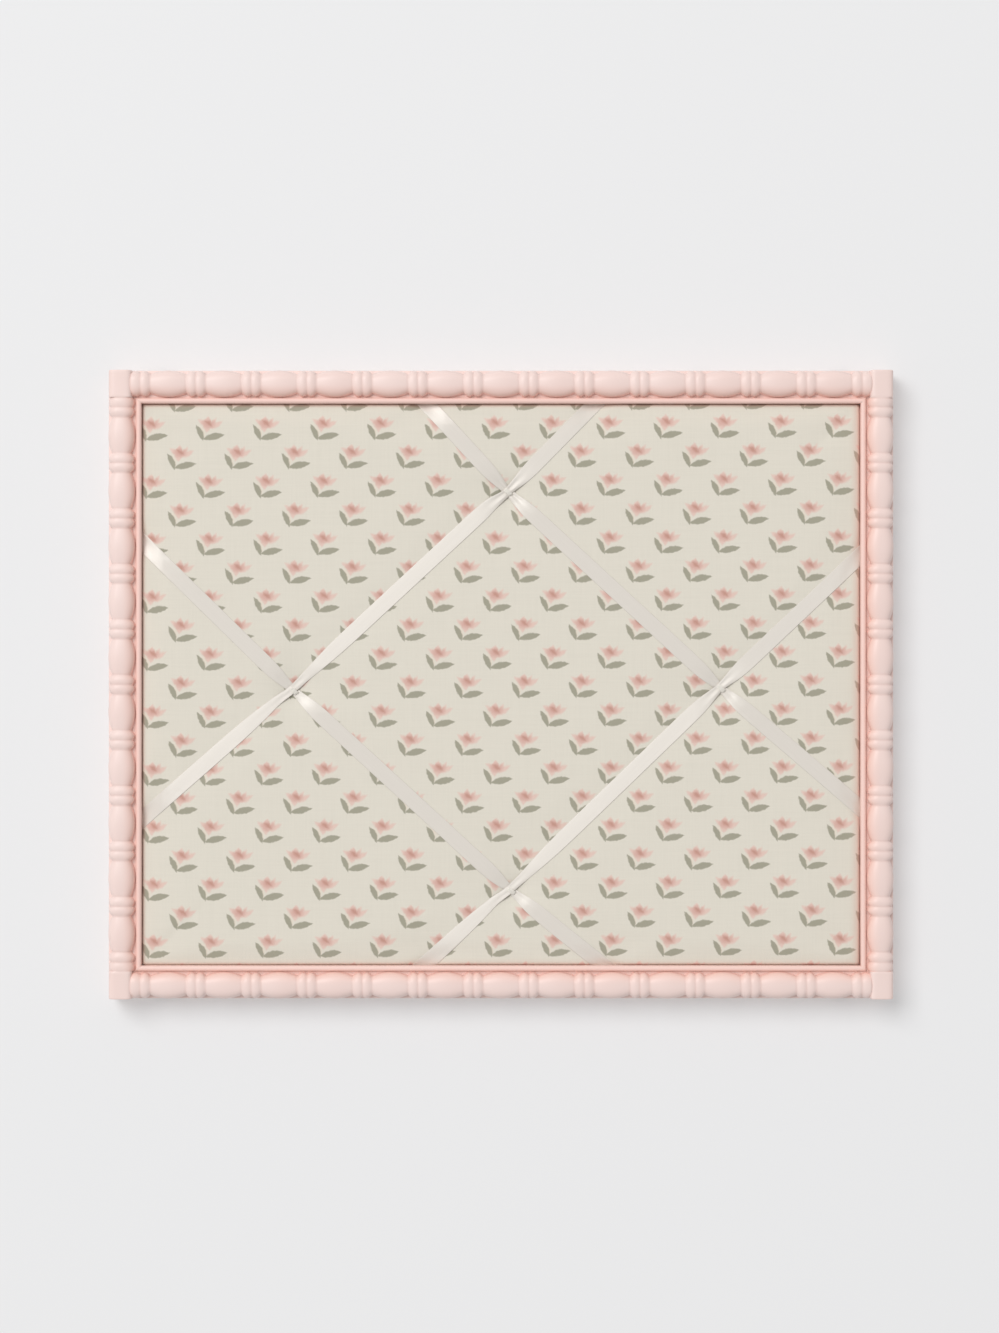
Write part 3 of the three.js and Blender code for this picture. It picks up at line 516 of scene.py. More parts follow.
def turned_profile(length, barrels):
    """Distances and radii along the beads and barrels of one side, which fill its length."""
    pair = [bead(NECK_RADIUS, BEAD_GROOVE_RADIUS), bead(BEAD_GROOVE_RADIUS, NECK_RADIUS)]
    barrel_length = (length - 2 * BEAD_LENGTH * (barrels + 1)) / barrels
    parts = pair + ([barrel(barrel_length)] + pair) * barrels
    parts[0] = bead(BLOCK_GROOVE_RADIUS, BEAD_GROOVE_RADIUS)
    parts[-1] = bead(BEAD_GROOVE_RADIUS, BLOCK_GROOVE_RADIUS)
    at, radius = [0.0], [BLOCK_GROOVE_RADIUS]
    for along, swell in parts:
        radius.extend(swell)
        at.extend(at[-1] + along)
    return np.array(at), np.array(radius)


def blurred(values, width):
    """A row of numbers, each averaged with its neighbours in a soft window."""
    reach = int(3 * width) + 1
    weights = np.exp(-0.5 * (np.arange(-reach, reach + 1) / width) ** 2)
    padded = np.pad(values, reach, mode="edge")
    return np.convolve(padded, weights / weights.sum(), mode="valid")


def radius_dip(soft):
    """1 in the narrow grooves of a turning and 0 away from them."""
    around = np.minimum(np.roll(soft, 2), np.roll(soft, -2))
    return np.clip((around - soft) / GROOVE_DIP, 0, 1)


def half_length(side):
    """Half the length of a side, which is how far the sides across it stand from the middle."""
    return FRAME_HALF["left" if side in ("bottom", "top") else "bottom"]


def split_turning(side, barrels, is_stile):
    half = half_length(side)
    at, radius = turned_profile(2 * (half - (STILE_BLOCK if is_stile else RAIL_END)), barrels)
    fine = np.arange(0, at[-1], STATION / 4)
    soft = blurred(np.interp(fine, at, radius), PAINT_FILLET / (STATION / 4))[::4]
    stations = fine[::4] - at[-1] / 2
    if is_stile:
        ends = half - BLOCK_STEPS
        end_radii = BLOCK_RADIUS - BLOCK_ROUNDING
    else:
        ends = np.array([half - RAIL_END + RAIL_TUCK])
        end_radii = np.array([NECK_RADIUS - 1])
    stations = np.concatenate((-ends, stations, ends[::-1]))
    soft = np.concatenate((end_radii, soft, end_radii[::-1]))
    angle = np.linspace(-math.pi / 2, math.pi / 2, ROUND_STEPS + 1)
    angle = np.append(angle, angle[-1])
    is_block = np.abs(stations)[:, None] > half - (STILE_BLOCK if is_stile else 0)
    power = np.where(is_block, BLOCK_POWER, FACE_POWER)
    inward = np.sign(angle) * np.abs(np.sin(angle)) ** power
    forward = np.clip(np.cos(angle), 0, 1) ** power
    skirt = np.append(np.zeros(ROUND_STEPS + 1), SKIRT)
    level = BARREL_RADIUS + FACE_RELIEF * (soft - BARREL_RADIUS)
    trimmed = soft[:, None] - BLOCK_TRIM * is_block * (inward > 0)
    points = points_at(stations[:, None], skirt - BASE_DEPTH - level[:, None] * forward,
                       trimmed * inward + BARREL_RADIUS - FRAME_HALF[side])
    name = f"{side}_{'stile' if is_stile else 'rail'}"
    made = add_on_side(f"bobbin_{name}", points, side, paint, crease=60)
    groove = blurred(radius_dip(soft), GROOVE_BLUR)
    # Painted shade in the grooves, with some pooled paint, and a painted warm pink reflection on the side
    # towards the lip.
    keep_values(made, "painted_shade_and_pooling", np.repeat(groove * ~is_block[:, 0], len(angle)))
    keep_values(made, "painted_bounce_warmth", (SIDE_BOUNCE_WARMTH * np.clip(inward, 0, 1) ** WARM_CURVE * ~is_block).ravel())
    settle(made, f"turning_{name}")
    return len(made.data.vertices)


for turning in TURNINGS:
    print(turning[0], "turning points:", split_turning(*turning))

# %% [markdown]
# Under the turnings lies a mitred base. Its section has a flat back, a rabbet that the panel sits in, and a
# round bead along the opening with a narrow raised floor beside it. Where the bead rises from that floor, a
# dark line is painted on the right and bottom sides, which look away from the light: a painted shadow of the
# bead. The floor and the lip are painted a warmer pink, partly the lip's own tone and partly painted
# reflected light. The section is drawn once and run along each side, cut at 45 degrees at its ends.

# %% Base mouldings
RABBET_DEPTH = 11.0
POCKET_INSET = 16.0
BEAD_START = 17.8
BEAD_END = 21.4
BEAD_WALL = 2.0
BEAD_RISE = 1.6
LIP_BOUNCE_WARMTH = 0.55
FLOOR_START = 14.4
FLOOR_RISE = 1.6
SHADOW_LINE_SHARE = {"left": 0.0, "top": 0.0, "right": 1.3, "bottom": 1.1}
LINE_WIDTH = 0.7
LINE_BAND = (-BASE_DEPTH - BEAD_WALL - 0.7, 2 - BASE_DEPTH)
WARM_LEVEL = 3 - BASE_DEPTH
WARM_RAMP = 2.0
SIDE_LEVEL = 7.0
ARRIS = 0.6
LIP_ROUND = 0.4
FLOOR_ROUND = 0.3
BACK_RELIEF = 0.04
MITRE_GAP = 0.03


def arc(centre, radii, first, last, count):
    """Points on part of an ellipse, from one angle to another in degrees."""
    angle = np.radians(np.linspace(first, last, count))
    return [(centre[0] + radii[0] * math.cos(a), centre[1] + radii[1] * math.sin(a)) for a in angle]


def base_section():
    """The moulding's section as points of (inward, depth), once round."""
    middle = (BEAD_START + BEAD_END) / 2
    floor = -BASE_DEPTH - FLOOR_RISE
    section = [(0, -BACK_RELIEF), (0, -SIDE_LEVEL)]
    section += arc((ARRIS, -BASE_DEPTH + ARRIS), (ARRIS, ARRIS), 180, 270, 6)
    section += [(FLOOR_START, -BASE_DEPTH), (FLOOR_START + FLOOR_ROUND, floor)]
    section += [(BEAD_START - FLOOR_ROUND, floor), (BEAD_START, floor - FLOOR_ROUND)]
    section += arc((middle, -BASE_DEPTH - BEAD_WALL), (middle - BEAD_START, BEAD_RISE), 180, 360, 22)
    section += arc((BEAD_END - LIP_ROUND, -RABBET_DEPTH - LIP_ROUND), (LIP_ROUND, LIP_ROUND), 0, 90, 4)
    section += [(POCKET_INSET, -RABBET_DEPTH), (POCKET_INSET, -BACK_RELIEF)]
    return np.array(section)


def base_moulding(side):
    section = base_section().T
    inward, depth = section
    share = np.linspace(-1, 1, 9)[:, None]
    rows = points_at(share * (half_length(side) - inward - MITRE_GAP), depth, inward - FRAME_HALF[side])
    made = add_on_side(f"moulding_{side}", rows, side, paint, crease=50)
    inward, depth = np.tile(section, len(rows))
    # A painted shadow line where the bead rises from the floor, on the right and bottom sides only.
    is_low = (depth > LINE_BAND[0]) & (depth < LINE_BAND[1])
    shadow_line = np.exp(-((inward - BEAD_START) / LINE_WIDTH) ** 2) * is_low
    keep_values(made, "painted_shade_and_pooling", SHADOW_LINE_SHARE[side] * shadow_line)
    # A warmer pink on the floor and the lip: partly its own tone, partly painted reflected light.
    is_front = depth < WARM_LEVEL
    keep_values(made, "painted_bounce_warmth", LIP_BOUNCE_WARMTH * np.clip((inward - FLOOR_START) / WARM_RAMP, 0, 1) * is_front)
    settle(made, f"base_{side}")


for side in TURNS:
    base_moulding(side)
print("base mouldings:", len(TURNS), "with", len(base_section()), "points to a section")

# %% [markdown]
# The panel's face is cloth stretched over batting. It rolls down under the frame's lip all round, it is
# sewn down hard at four crossings, and the taut ribbons press a faint line into it. These pulls are known, so
# the start shape has them worked out: sums on a grid of places give how far the cloth stands out.

# %% Cloth as it is cut and sewn
BOARD_HALF = (235.8, 185.0)
SIGHT_HALF = (232.8, 182.0)
CLOTH_LIP = 10.2
CLOTH_CROWN = 4.4
STEEP_ROLL = 0.55
STEEP_SHARE = 0.78
LONG_ROLL = 8.0
EDGE_DROP = 1.2
TUFT_DEPTH = 3.2
TUFT_RADIUS = 12.0
TAUT_LIP = 10.4
TAUT_RISE = 4.4
TAUT_REACH = 16.0
TAUT_CURVE = 1.4
PRESS_RADIUS = 6.5
UNDER_REACH = 4.6
WRINKLE = 0.22
WRINKLE_REACH = 14.0

CROSSINGS = {"top": (4.7, 124.6), "left": (-134.1, -4.2), "right": (142.7, -2.7), "bottom": (6.8, -133.8)}
RIBBONS = [
    {"name": "left_to_top", "over": True, "via": ("left", "top"), "ends": (-91.2, 65.0),
     "reaches": (27.0, 12.5), "pulls": (1.5, 0.4), "bows": (2.5, 1.7, 0.0)},
    {"name": "bottom_to_right", "over": True, "via": ("bottom", "right"), "ends": (-54.5, 87.6),
     "reaches": (27.0, 12.5), "pulls": (1.5, 1.2), "bows": (2.9, 1.35, 0.9)},
    {"name": "top_to_right", "over": False, "via": ("top", "right"), "ends": (-52.0, -83.6),
     "reaches": (12.5, 12.5), "pulls": (0, 0), "bows": (0, 0, 0)},
    {"name": "left_to_bottom", "over": False, "via": ("left", "bottom"), "ends": (96.6, 71.5),
     "reaches": (12.5, 12.5), "pulls": (0, 0), "bows": (0, 0, 0)},
]
EDGES = {
    "left": ((-1, 0), (0, 1), BOARD_HALF[0]),
    "right": ((1, 0), (0, 1), BOARD_HALF[0]),
    "top": ((0, 1), (1, 0), BOARD_HALF[1]),
    "bottom": ((0, -1), (1, 0), BOARD_HALF[1]),
}


def edge_point(edge, along):
    """The point of the panel's edge that is so far along it."""
    out, way, half = EDGES[edge]
    return np.array(out, float) * half + np.array(way, float) * along


def distance_to_line(x, z, first, last):
    way = last - first
    share = np.clip(((x - first[0]) * way[0] + (z - first[1]) * way[1]) / (way @ way), 0, 1)
    return np.hypot(x - first[0] - share * way[0], z - first[1] - share * way[1])


def distance_to_ribbon(x, z, ribbon):
    """How far points lie from the three straight parts between a ribbon's ends and crossings."""
    ends = [edge_point(edge, along) for edge, along in zip(ribbon["via"], ribbon["ends"])]
    bends = [ends[0], *(np.array(CROSSINGS[name]) for name in ribbon["via"]), ends[1]]
    return np.min([distance_to_line(x, z, *pair) for pair in zip(bends, bends[1:])], axis=0)


def roll_share(inset):
    """How far the cloth has risen, from 0 at the lip to 1 on the face."""
    inset = np.maximum(inset, 0)
    return 1 - STEEP_SHARE * np.exp(-inset / STEEP_ROLL) - (1 - STEEP_SHARE) * np.exp(-inset / LONG_ROLL)


def sewn_depth(x, z):
    """How far the cloth stands in front of the frame's back before it swells."""
    inset_x = SIGHT_HALF[0] - np.abs(x)
    inset_z = SIGHT_HALF[1] - np.abs(z)
    inset = np.minimum(inset_x, inset_z)
    depth = CLOTH_LIP + CLOTH_CROWN * roll_share(inset_x) * roll_share(inset_z)
    under = np.clip(-inset / UNDER_REACH, 0, 1)
    depth -= EDGE_DROP * under ** 2
    # Slow waves whose lengths don't fit together, so that no two wrinkles are alike.
    waves = np.sin(x / 17 + 0.6) * np.sin(z / 23 + 1.1) + 0.7 * np.sin(x / 41 - z / 31)
    depth += WRINKLE * waves * np.exp(-(inset / WRINKLE_REACH) ** 2)
    for tie in CROSSINGS.values():
        away = np.hypot(x - tie[0], z - tie[1])
        depth -= TUFT_DEPTH * np.exp(-((away / TUFT_RADIUS) ** 2))
    taut = 1 - (1 - np.clip(inset / TAUT_REACH, 0, 1)) ** TAUT_CURVE
    for ribbon in RIBBONS:
        away = distance_to_ribbon(x, z, ribbon)
        press = np.maximum(depth - TAUT_LIP - TAUT_RISE * taut, 0)
        depth -= press * np.exp(-((away / PRESS_RADIUS) ** 2)) * (under == 0)
    return depth


middle_depth = sewn_depth(np.array(0.0), np.array(0.0))
print("cloth stands", middle_depth.round(2), "mm in front of the frame's back in the middle, as sewn")

# %% [markdown]
# A formula misses the soft folds between the stitches. So a short run of Blender's cloth solver lets a trial
# sheet swell against its stitches and its edge, as the batting makes it do. How far it moved is kept as
# numbers, with a cap, and the trial sheet is taken away.

# %% Let the cloth swell
CLOTH_OUT = 0.8
SOLVER_CELL = 3.6
SOLVER = {"quality": 5, "tension_stiffness": 40, "compression_stiffness": 40, "shear_stiffness": 15,
          "bending_stiffness": 0.4, "air_damping": 6, "use_pressure": True, "uniform_pressure_force": 1.4}
SWELL_FRAMES = 18
SWELL_CAP = 1.0
SINK_CAP = 0.5
TIE_HOLD = 3.6
RIBBON_HOLD = 3.0
RIBBON_GRIP = 0.35
LIP_HOLD = 3.0


def hold_weights(x, z):
    """How firmly each point of the cloth is held: at the lip, at the ties and under the ribbons."""
    hold = np.zeros(x.shape)
    for ribbon in RIBBONS:
        hold[distance_to_ribbon(x, z, ribbon) < RIBBON_HOLD] = RIBBON_GRIP
    for tie in CROSSINGS.values():
        hold[np.hypot(x - tie[0], z - tie[1]) < TIE_HOLD] = 1
    hold[(np.abs(x) > SIGHT_HALF[0] - LIP_HOLD) | (np.abs(z) > SIGHT_HALF[1] - LIP_HOLD)] = 1
    return hold


def solve_cloth(x, z, depth):
    """The depth of a sheet of cloth after a short run of the cloth solver."""
    points = points_at(x, -depth, z)
    sheet = add_mesh("cloth_trial", on_wall(points), skin(*x.shape, False), paint, closed=False)
    group = sheet.vertex_groups.new(name="held")
    hold = hold_weights(x, z).ravel()
    for weight in np.unique(hold[hold > 0]):
        group.add(np.flatnonzero(hold == weight).tolist(), float(weight), "REPLACE")
    solver = sheet.modifiers.new("cloth", "CLOTH")
    solver.settings.vertex_group_mass = group.name
    for name, value in SOLVER.items():
        setattr(solver.settings, name, value)
    solver.settings.effector_weights.gravity = 0
    solver.point_cache.frame_end = SWELL_FRAMES
    for step in range(1, SWELL_FRAMES + 1):
        scene.frame_set(step)
    swollen = sheet.evaluated_get(bpy.context.evaluated_depsgraph_get())
    found = np.empty(points.size)
    swollen.data.vertices.foreach_get("co", found)
    scene.frame_set(1)
    bpy.data.objects.remove(sheet)
    return -(found.reshape(points.shape)[..., 1] / MM + WALL_GAP)


cloth_half = np.array(BOARD_HALF) + CLOTH_OUT
trial_xs, trial_zs = (np.linspace(-half, half, int(2 * half / SOLVER_CELL)) for half in cloth_half)
trial_x, trial_z = np.meshgrid(trial_xs, trial_zs)
sewn = sewn_depth(trial_x, trial_z)
solved = solve_cloth(trial_x, trial_z, sewn)
swell = np.clip(solved - sewn, -SINK_CAP, SWELL_CAP)
print("cloth moved from", swell.min().round(2), "to", swell.max().round(2), "mm on", swell.size, "points")

# %% [markdown]
# The finished cloth adds the solver's swelling to the sewn shape, on a grid that is finer near the lip, where
# the cloth turns down steeply. Other pieces lie on the cloth, so they have to ask how high it is anywhere.

# %% Finished cloth
CLOTH_CELL = 2.3
LIP_ZONE = 9.0
LIP_LINES = 12
LIP_CROWDING = 1.6


def grid_line(half, sight):
    """Places of the cloth's grid lines along one way, closer together near the lip."""
    flat = sight - LIP_ZONE
    middle = np.linspace(-flat, flat, int(2 * flat / CLOTH_CELL) + 1)
    edge = flat + LIP_ZONE * (1 - (1 - np.arange(1, LIP_LINES + 1) / LIP_LINES) ** LIP_CROWDING)
    outside = np.array([(sight + half) / 2, half])
    return np.concatenate((-outside[::-1], -edge[::-1], middle, edge, outside))


def between(values, xs, zs, x, z):
    """A grid's value at any point, by a straight blend between its four nearest points."""
    column = np.clip(np.interp(x, xs, np.arange(len(xs))), 0, len(xs) - 1.001)
    row = np.clip(np.interp(z, zs, np.arange(len(zs))), 0, len(zs) - 1.001)
    i, j = column.astype(int), row.astype(int)
    s, t = column - i, row - j
    lower = values[j, i] * (1 - s) + values[j, i + 1] * s
    upper = values[j + 1, i] * (1 - s) + values[j + 1, i + 1] * s
    return lower * (1 - t) + upper * t


cloth_xs, cloth_zs = (grid_line(half, sight) for half, sight in zip(cloth_half, SIGHT_HALF))
grid_x, grid_z = np.meshgrid(cloth_xs, cloth_zs)
cloth_depths = sewn_depth(grid_x, grid_z) + between(swell, trial_xs, trial_zs, grid_x, grid_z)


def cloth_depth(x, z):
    return between(cloth_depths, cloth_xs, cloth_zs, x, z)


print("cloth grid:", grid_x.shape, "depth, mm:", cloth_depths.min().round(2), cloth_depths.max().round(2))

# %% [markdown]
# The cotton is a plain weave in pale oatmeal, printed with small sprigs in a half-drop repeat: each row is
# set half a repeat to the side. A sprig is a few lens shapes. Two leaves spread from a joint, and soft petals
# make the flower over them. One sprig is worked out in nodes, and the half-drop is folded into it: turned by
# 45 degrees, the repeat is a plain square grid, so rounding gives the nearest sprig. Beside the lip a
# pink-brown painted shade stands for the lip's shadow on the top and left and for the frame's reflected pink
# light on the right and bottom.

# %% Sprig print
REPEAT = (37.03, 37.23)
SPRIG_AT = (-188.4, 167.0)
SPRIG_MIDDLE = (3.6, 7.2)
PRINT_TILT = math.radians(0.27)
WOBBLE = 1.1
WOBBLE_SCALES = (0.42, 0.47)
WEAVE_PITCH = 0.62
SLUB_ALONG, SLUB_ACROSS = 0.03, 0.9
COTTON = (0.775, 0.73, 0.635, 1)
COTTON_DARK = (0.70, 0.66, 0.57, 1)
LEAF = (0.33, 0.315, 0.235, 1)
PETAL = (0.79, 0.545, 0.475, 1)
BLUSH = (0.66, 0.38, 0.325, 1)
HEART = (0.50, 0.25, 0.19, 1)
BLUSH_AT = (3.6, 9.9)
BLUSH_SHAPE = (0.7, 1.3)
BLUSH_AREA = 20
RIM_PAINTED_SHADE = (0.70, 0.32, 0.25, 1)
RIM_WIDTHS = ((4.0, 7.5), (5.0, 4.0))
RIM_SHARES = ((0.35, 0.6), (0.3, 0.5))
RIM_CURVE = 1.7
STEM = (0.83, 0.70, 0.57, 1)

LEAVES = [((0.1, -1.3), (-4.7, 9.2), 1.75, -0.5), ((-0.3, -0.2), (13.9, 2.6), 2.15, 0.3)]
PETALS = [
    ((2.4, 4.2), (3.4, 14.6), 2.9, 0.3),
    ((6.2, 7.4), (-3.0, 12.6), 1.8, 0.5),
    ((1.6, 7.6), (12.4, 11.2), 1.8, -0.8),
    ((3.4, 6.4), (8.4, 13.4), 1.5, -0.4),
]
HEART_STROKE = ((1.4, 11.8), (6.0, 8.2), 1.1, 0.2)
STEM_STROKE = ((0.4, 0.5), (-2.4, 9.0), 0.7, -1.2)
SOFT_EDGES = {"leaf": 0.7, "petal": 1.5, "heart": 1.6, "stem": 0.9}


def blade(u, v, root, tip, half_width, bend, soft):
    """1 inside a bent lens from root to tip, 0 outside it, with a soft edge."""
    length = math.dist(root, tip)
    way = ((tip[0] - root[0]) / length, (tip[1] - root[1]) / length)
    right, up = u - root[0], v - root[1]
    share = (right * way[0] + up * way[1]) / length
    belly = share * (1 - share) * 4
    across = up * way[0] - right * way[1]
    return ((belly * half_width - abs(across - belly * bend)) / soft + 0.5).clamped()


def sprig_place(cut, wobble):
    """The place within the nearest sprig, in millimetres from the joint of its leaves."""
    x, z = turn_by(*cut, PRINT_TILT)
    column = (x - SPRIG_AT[0]) / REPEAT[0]
    row = (z - SPRIG_AT[1]) / REPEAT[1]
    diagonals = [column + row, column - row]
    first, second = (value - value.math("ROUND", value) for value in diagonals)
    u, v = ((turned * (repeat / 2) + middle + (sway - 0.5) * WOBBLE) for turned, repeat, middle, sway
            in zip((first + second, first - second), REPEAT, SPRIG_MIDDLE, wobble))
    return u, v


def woven(wire, cut):
    """Height of a plain weave, from 0 to 1."""
    warp, weft = (wire.math("SINE", part * (math.pi / WEAVE_PITCH)) for part in cut)
    over = (warp * weft * 4 + 0.5).clamped()
    return abs(warp) * over + abs(weft) * (1 - over)


def rim_shade(part, sight, widths, shares):
    """Painted frame shadow and pink reflection on the cloth at both ends of one way: its low end and its high
    end.
    """
    is_high = (part * 10).clamped()
    reach = widths[0] + is_high * (widths[1] - widths[0])
    rim = (1 - abs(abs(part) - sight) / reach).clamped() ** RIM_CURVE
    return rim * (shares[0] + is_high * (shares[1] - shares[0]))


def printed_cotton():
    finish, wire = new_finish("printed_cotton")
    place = wire.read("cut", "Vector")
    cut = wire.split(place, 0, 1)
    u, v = sprig_place(cut, [wire.flat_noise(place, scale) for scale in WOBBLE_SCALES])
    leaves = largest(blade(u, v, *leaf, SOFT_EDGES["leaf"]) for leaf in LEAVES)
    petals = largest(blade(u, v, *petal, SOFT_EDGES["petal"]) for petal in PETALS)
    away = (u - BLUSH_AT[0]) ** 2 * BLUSH_SHAPE[0] + (v - BLUSH_AT[1]) ** 2 * BLUSH_SHAPE[1]
    blush = (1 - away / BLUSH_AREA).clamped()
    heart = blade(u, v, *HEART_STROKE, SOFT_EDGES["heart"])
    stem = blade(u, v, *STEM_STROKE, SOFT_EDGES["stem"])
    weave = woven(wire, cut)
    slubs = (wire.streaks(cut[0] * SLUB_ALONG, cut[1] * SLUB_ACROSS)
             + wire.streaks(cut[0] * SLUB_ACROSS, cut[1] * SLUB_ALONG)) * 0.5
    ink = weave * 0.25 + 0.75
    # Painted shade beside the lip: the lip's shadow and the frame's reflected pink light, painted into the
    # cloth's colour.
    shade = largest(map(rim_shade, cut, SIGHT_HALF, RIM_WIDTHS, RIM_SHARES))
    colour = wire.tint(((slubs - 0.42) * 0.9 + (1 - weave) * 0.22).clamped(), COTTON, COTTON_DARK)
    for share, tone in [(stem * 0.5, STEM), (petals * ink * 0.85, PETAL), (blush * petals * ink * 0.9, BLUSH),
                        (heart * ink * 0.62, HEART), (leaves * ink * 0.95, LEAF), (shade, RIM_PAINTED_SHADE)]:
        colour = wire.tint(share, colour, tone)
    bump = wire.bump(weave + slubs * 0.9, 0.16 * MM, 0.55)
    show(wire, {
        "Base Color": colour,
        "Roughness": 0.88,
        "Specular IOR Level": 0.2,
        "Sheen Weight": 0.15,
        "Sheen Roughness": 0.5,
        "Normal": bump,
    })
    return finish


cotton = printed_cotton()
print("cotton nodes:", len(cotton.node_tree.nodes))

# %% [markdown]
# Now the cover itself: the swollen face, turned down the panel's sides and folded flat onto its back, where
# the flaps meet in mitres. It is one sheet, and Solidify gives it the thickness of the cloth. The flat place
# of each point is stored, so that the print follows the cut and not the folds.

# %% Cotton cover
CLOTH_THICK = 0.45
CLOTH_BACK = 3.75
SIDE_FOLD = 5.0
FLAP = 25.0
FOLDS = [(0.0, CLOTH_BACK + 1.0, SIDE_FOLD - 1.0), (0.0, CLOTH_BACK, SIDE_FOLD),
         (1.0, CLOTH_BACK, SIDE_FOLD + 1.0), (FLAP, CLOTH_BACK, SIDE_FOLD + FLAP)]


def thicken(made, thickness, offset):
    """Give a sheet its thickness, in millimetres."""
    thick = made.modifiers.new("thickness", "SOLIDIFY")
    thick.thickness = thickness * MM
    thick.offset = offset


def cover_sheet():
    """Points, faces and flat places of the whole cover."""
    points = [points_at(grid_x, -cloth_depths, grid_z).reshape(-1, 3)]
    cuts = [points[0][:, [0, 2]]]
    faces = skin(*grid_x.shape, around=False)
    count = grid_x.size
    index = np.arange(count).reshape(grid_x.shape)
    for border, outward in [(index[:, 0][::-1], (-1, 0)), (index[:, -1], (1, 0)),
                            (index[0], (0, -1)), (index[-1][::-1], (0, 1))]:
        last = border
        flat = cuts[0][border]
        for turned, depth, fold in FOLDS:
            x, z = np.clip(flat, turned - cloth_half, cloth_half - turned).T
            points.append(points_at(x, -depth, z))
            cuts.append(flat + np.multiply(outward, fold))
            new = count + np.arange(len(flat))
            faces += zip(last[:-1], new[:-1], new[1:], last[1:])
            last = new
            count += len(flat)
    return np.concatenate(points), [tuple(int(i) for i in face) for face in faces], np.concatenate(cuts)


cover_points, cover_faces, cover_cut = cover_sheet()
cover = add_mesh("cotton_cover", on_wall(cover_points), cover_faces, cotton, closed=False, crease=180)
keep_values(cover, "cut", points_at(*cover_cut.T, 0))
thicken(cover, CLOTH_THICK, -1)
settle(cover, "fabric_cover")
flat_cover = tuple(2 * (half + CLOTH_OUT + SIDE_FOLD + FLAP) * MM for half in BOARD_HALF)
print("cover is cut", [round(1000 * side) for side in flat_cover], "mm")

# %% [markdown]
# Under the cover lies the batting that pads the panel. It doesn't show, but it is what the cloth rests on, so
# it is a real crowned pad that follows the cloth from below, with fluff in its finish.

# %% Batting pad
BOARD_FRONT = 7.2
PAD_UNDER = 0.55
PAD_LEAST = 0.3
PAD_COUNTS = (80, 62)
BATTING = (0.78, 0.76, 0.71, 1)
BATTING_PALE = (0.9, 0.89, 0.86, 1)


def batting():
    finish, wire = new_finish("batting")
    place = wire.place()
    fluff = wire.noise(place, 2.2 * MM, 5.0)
    tufts = wire.noise(place, 14 * MM)
    show(wire, {
        "Base Color": wire.tint(fluff, BATTING, BATTING_PALE),
        "Roughness": 0.95,
        "Sheen Weight": 0.4,
        "Normal": wire.bump(fluff + tufts, 0.8 * MM, 0.8),
    })
    return finish


def pad_points():
    """A closed pad: its front follows the cloth, its back is flat on the board."""
    x, z = np.meshgrid(*(np.linspace(-half, half, count) for half, count in zip(BOARD_HALF, PAD_COUNTS)))
    front = np.maximum(cloth_depth(x, z) - PAD_UNDER, BOARD_FRONT + PAD_LEAST)
    layers = [points_at(x, -depth, z).reshape(-1, 3) for depth in (front, BOARD_FRONT)]
    index = np.arange(x.size).reshape(x.shape)
    rim = np.concatenate((index[0, :-1], index[:-1, -1], index[-1, :0:-1], index[:0:-1, 0]))
    faces = skin(*x.shape, around=False)
    faces += [tuple(i + x.size for i in reversed(face)) for face in faces]
    for first, last in zip(rim, np.roll(rim, -1)):
        faces.append((int(first), int(first + x.size), int(last + x.size), int(last)))
    return np.concatenate(layers), faces


pad_shape, pad_faces = pad_points()
pad = add_mesh("batting_pad", on_wall(pad_shape), pad_faces, batting(), crease=60)
settle(pad, "padding")
print("pad points:", len(pad.data.vertices))

# %% [markdown]
# The ribbons are satin: long threads float along their length, so they shine in a band across the threads
# and look dull along them. That is why the two ribbons that cross the light are bright and the other two
# almost vanish. The surface shader's anisotropy gives that. It stretches the shine along the object's own
# x axis where no other way is given, so each ribbon is turned to have its x axis across its width. Each
# ribbon keeps its place across and along as a stored vector, for the fine ribs of its threads. It also keeps
# a value for the shade where it tucks under the lip, and one for its shine: the free ends of the two upper
# ribbons are pulled askew over the padding, and they are duller.

# %% Satin
SATIN = (0.74, 0.692, 0.628, 1)
SATIN_DIP = (0.705, 0.655, 0.59, 1)
SATIN_TUCK_SHADE = (0.56, 0.40, 0.33, 1)
RIB_PITCH = 0.5
PICK_PITCH = 0.9
SELVEDGE = 4.5
STREAK_ACROSS, STREAK_ALONG = 1.5, 0.05


def satin_ribbon():
    finish, wire = new_finish("satin_ribbon")
    cut = wire.split(wire.read("cut", "Vector"), 0, 1)
    ribs, picks = (wire.math("SINE", part * (2 * math.pi / pitch))
                   for part, pitch in zip(cut, (RIB_PITCH, PICK_PITCH)))
    streaks = wire.streaks(cut[0] * STREAK_ACROSS, cut[1] * STREAK_ALONG)
    selvedge = ((abs(cut[0]) - SELVEDGE) * 3).clamped()
    colour = wire.tint((streaks * 0.8 + selvedge * 0.3).clamped(), SATIN, SATIN_DIP)
    # Painted shade, pink-brown, where the ribbon tucks under the lip.
    colour = wire.tint(wire.read("painted_tuck_shade") * 0.6, colour, SATIN_TUCK_SHADE)
    shine = wire.read("shine")
    height = ribs * 0.5 + streaks * 0.5 + picks * 0.05 + selvedge * 0.6
    show(wire, {
        "Base Color": colour,
        "Metallic": shine * 0.09,
        "Roughness": 0.68 - shine * 0.29,
        "Anisotropic": 0.82,
        "Specular IOR Level": 0.9,
        "Normal": wire.bump(height, 0.03 * MM, 0.6),
    })
    return finish


satin = satin_ribbon()
print("satin nodes:", len(satin.node_tree.nodes))

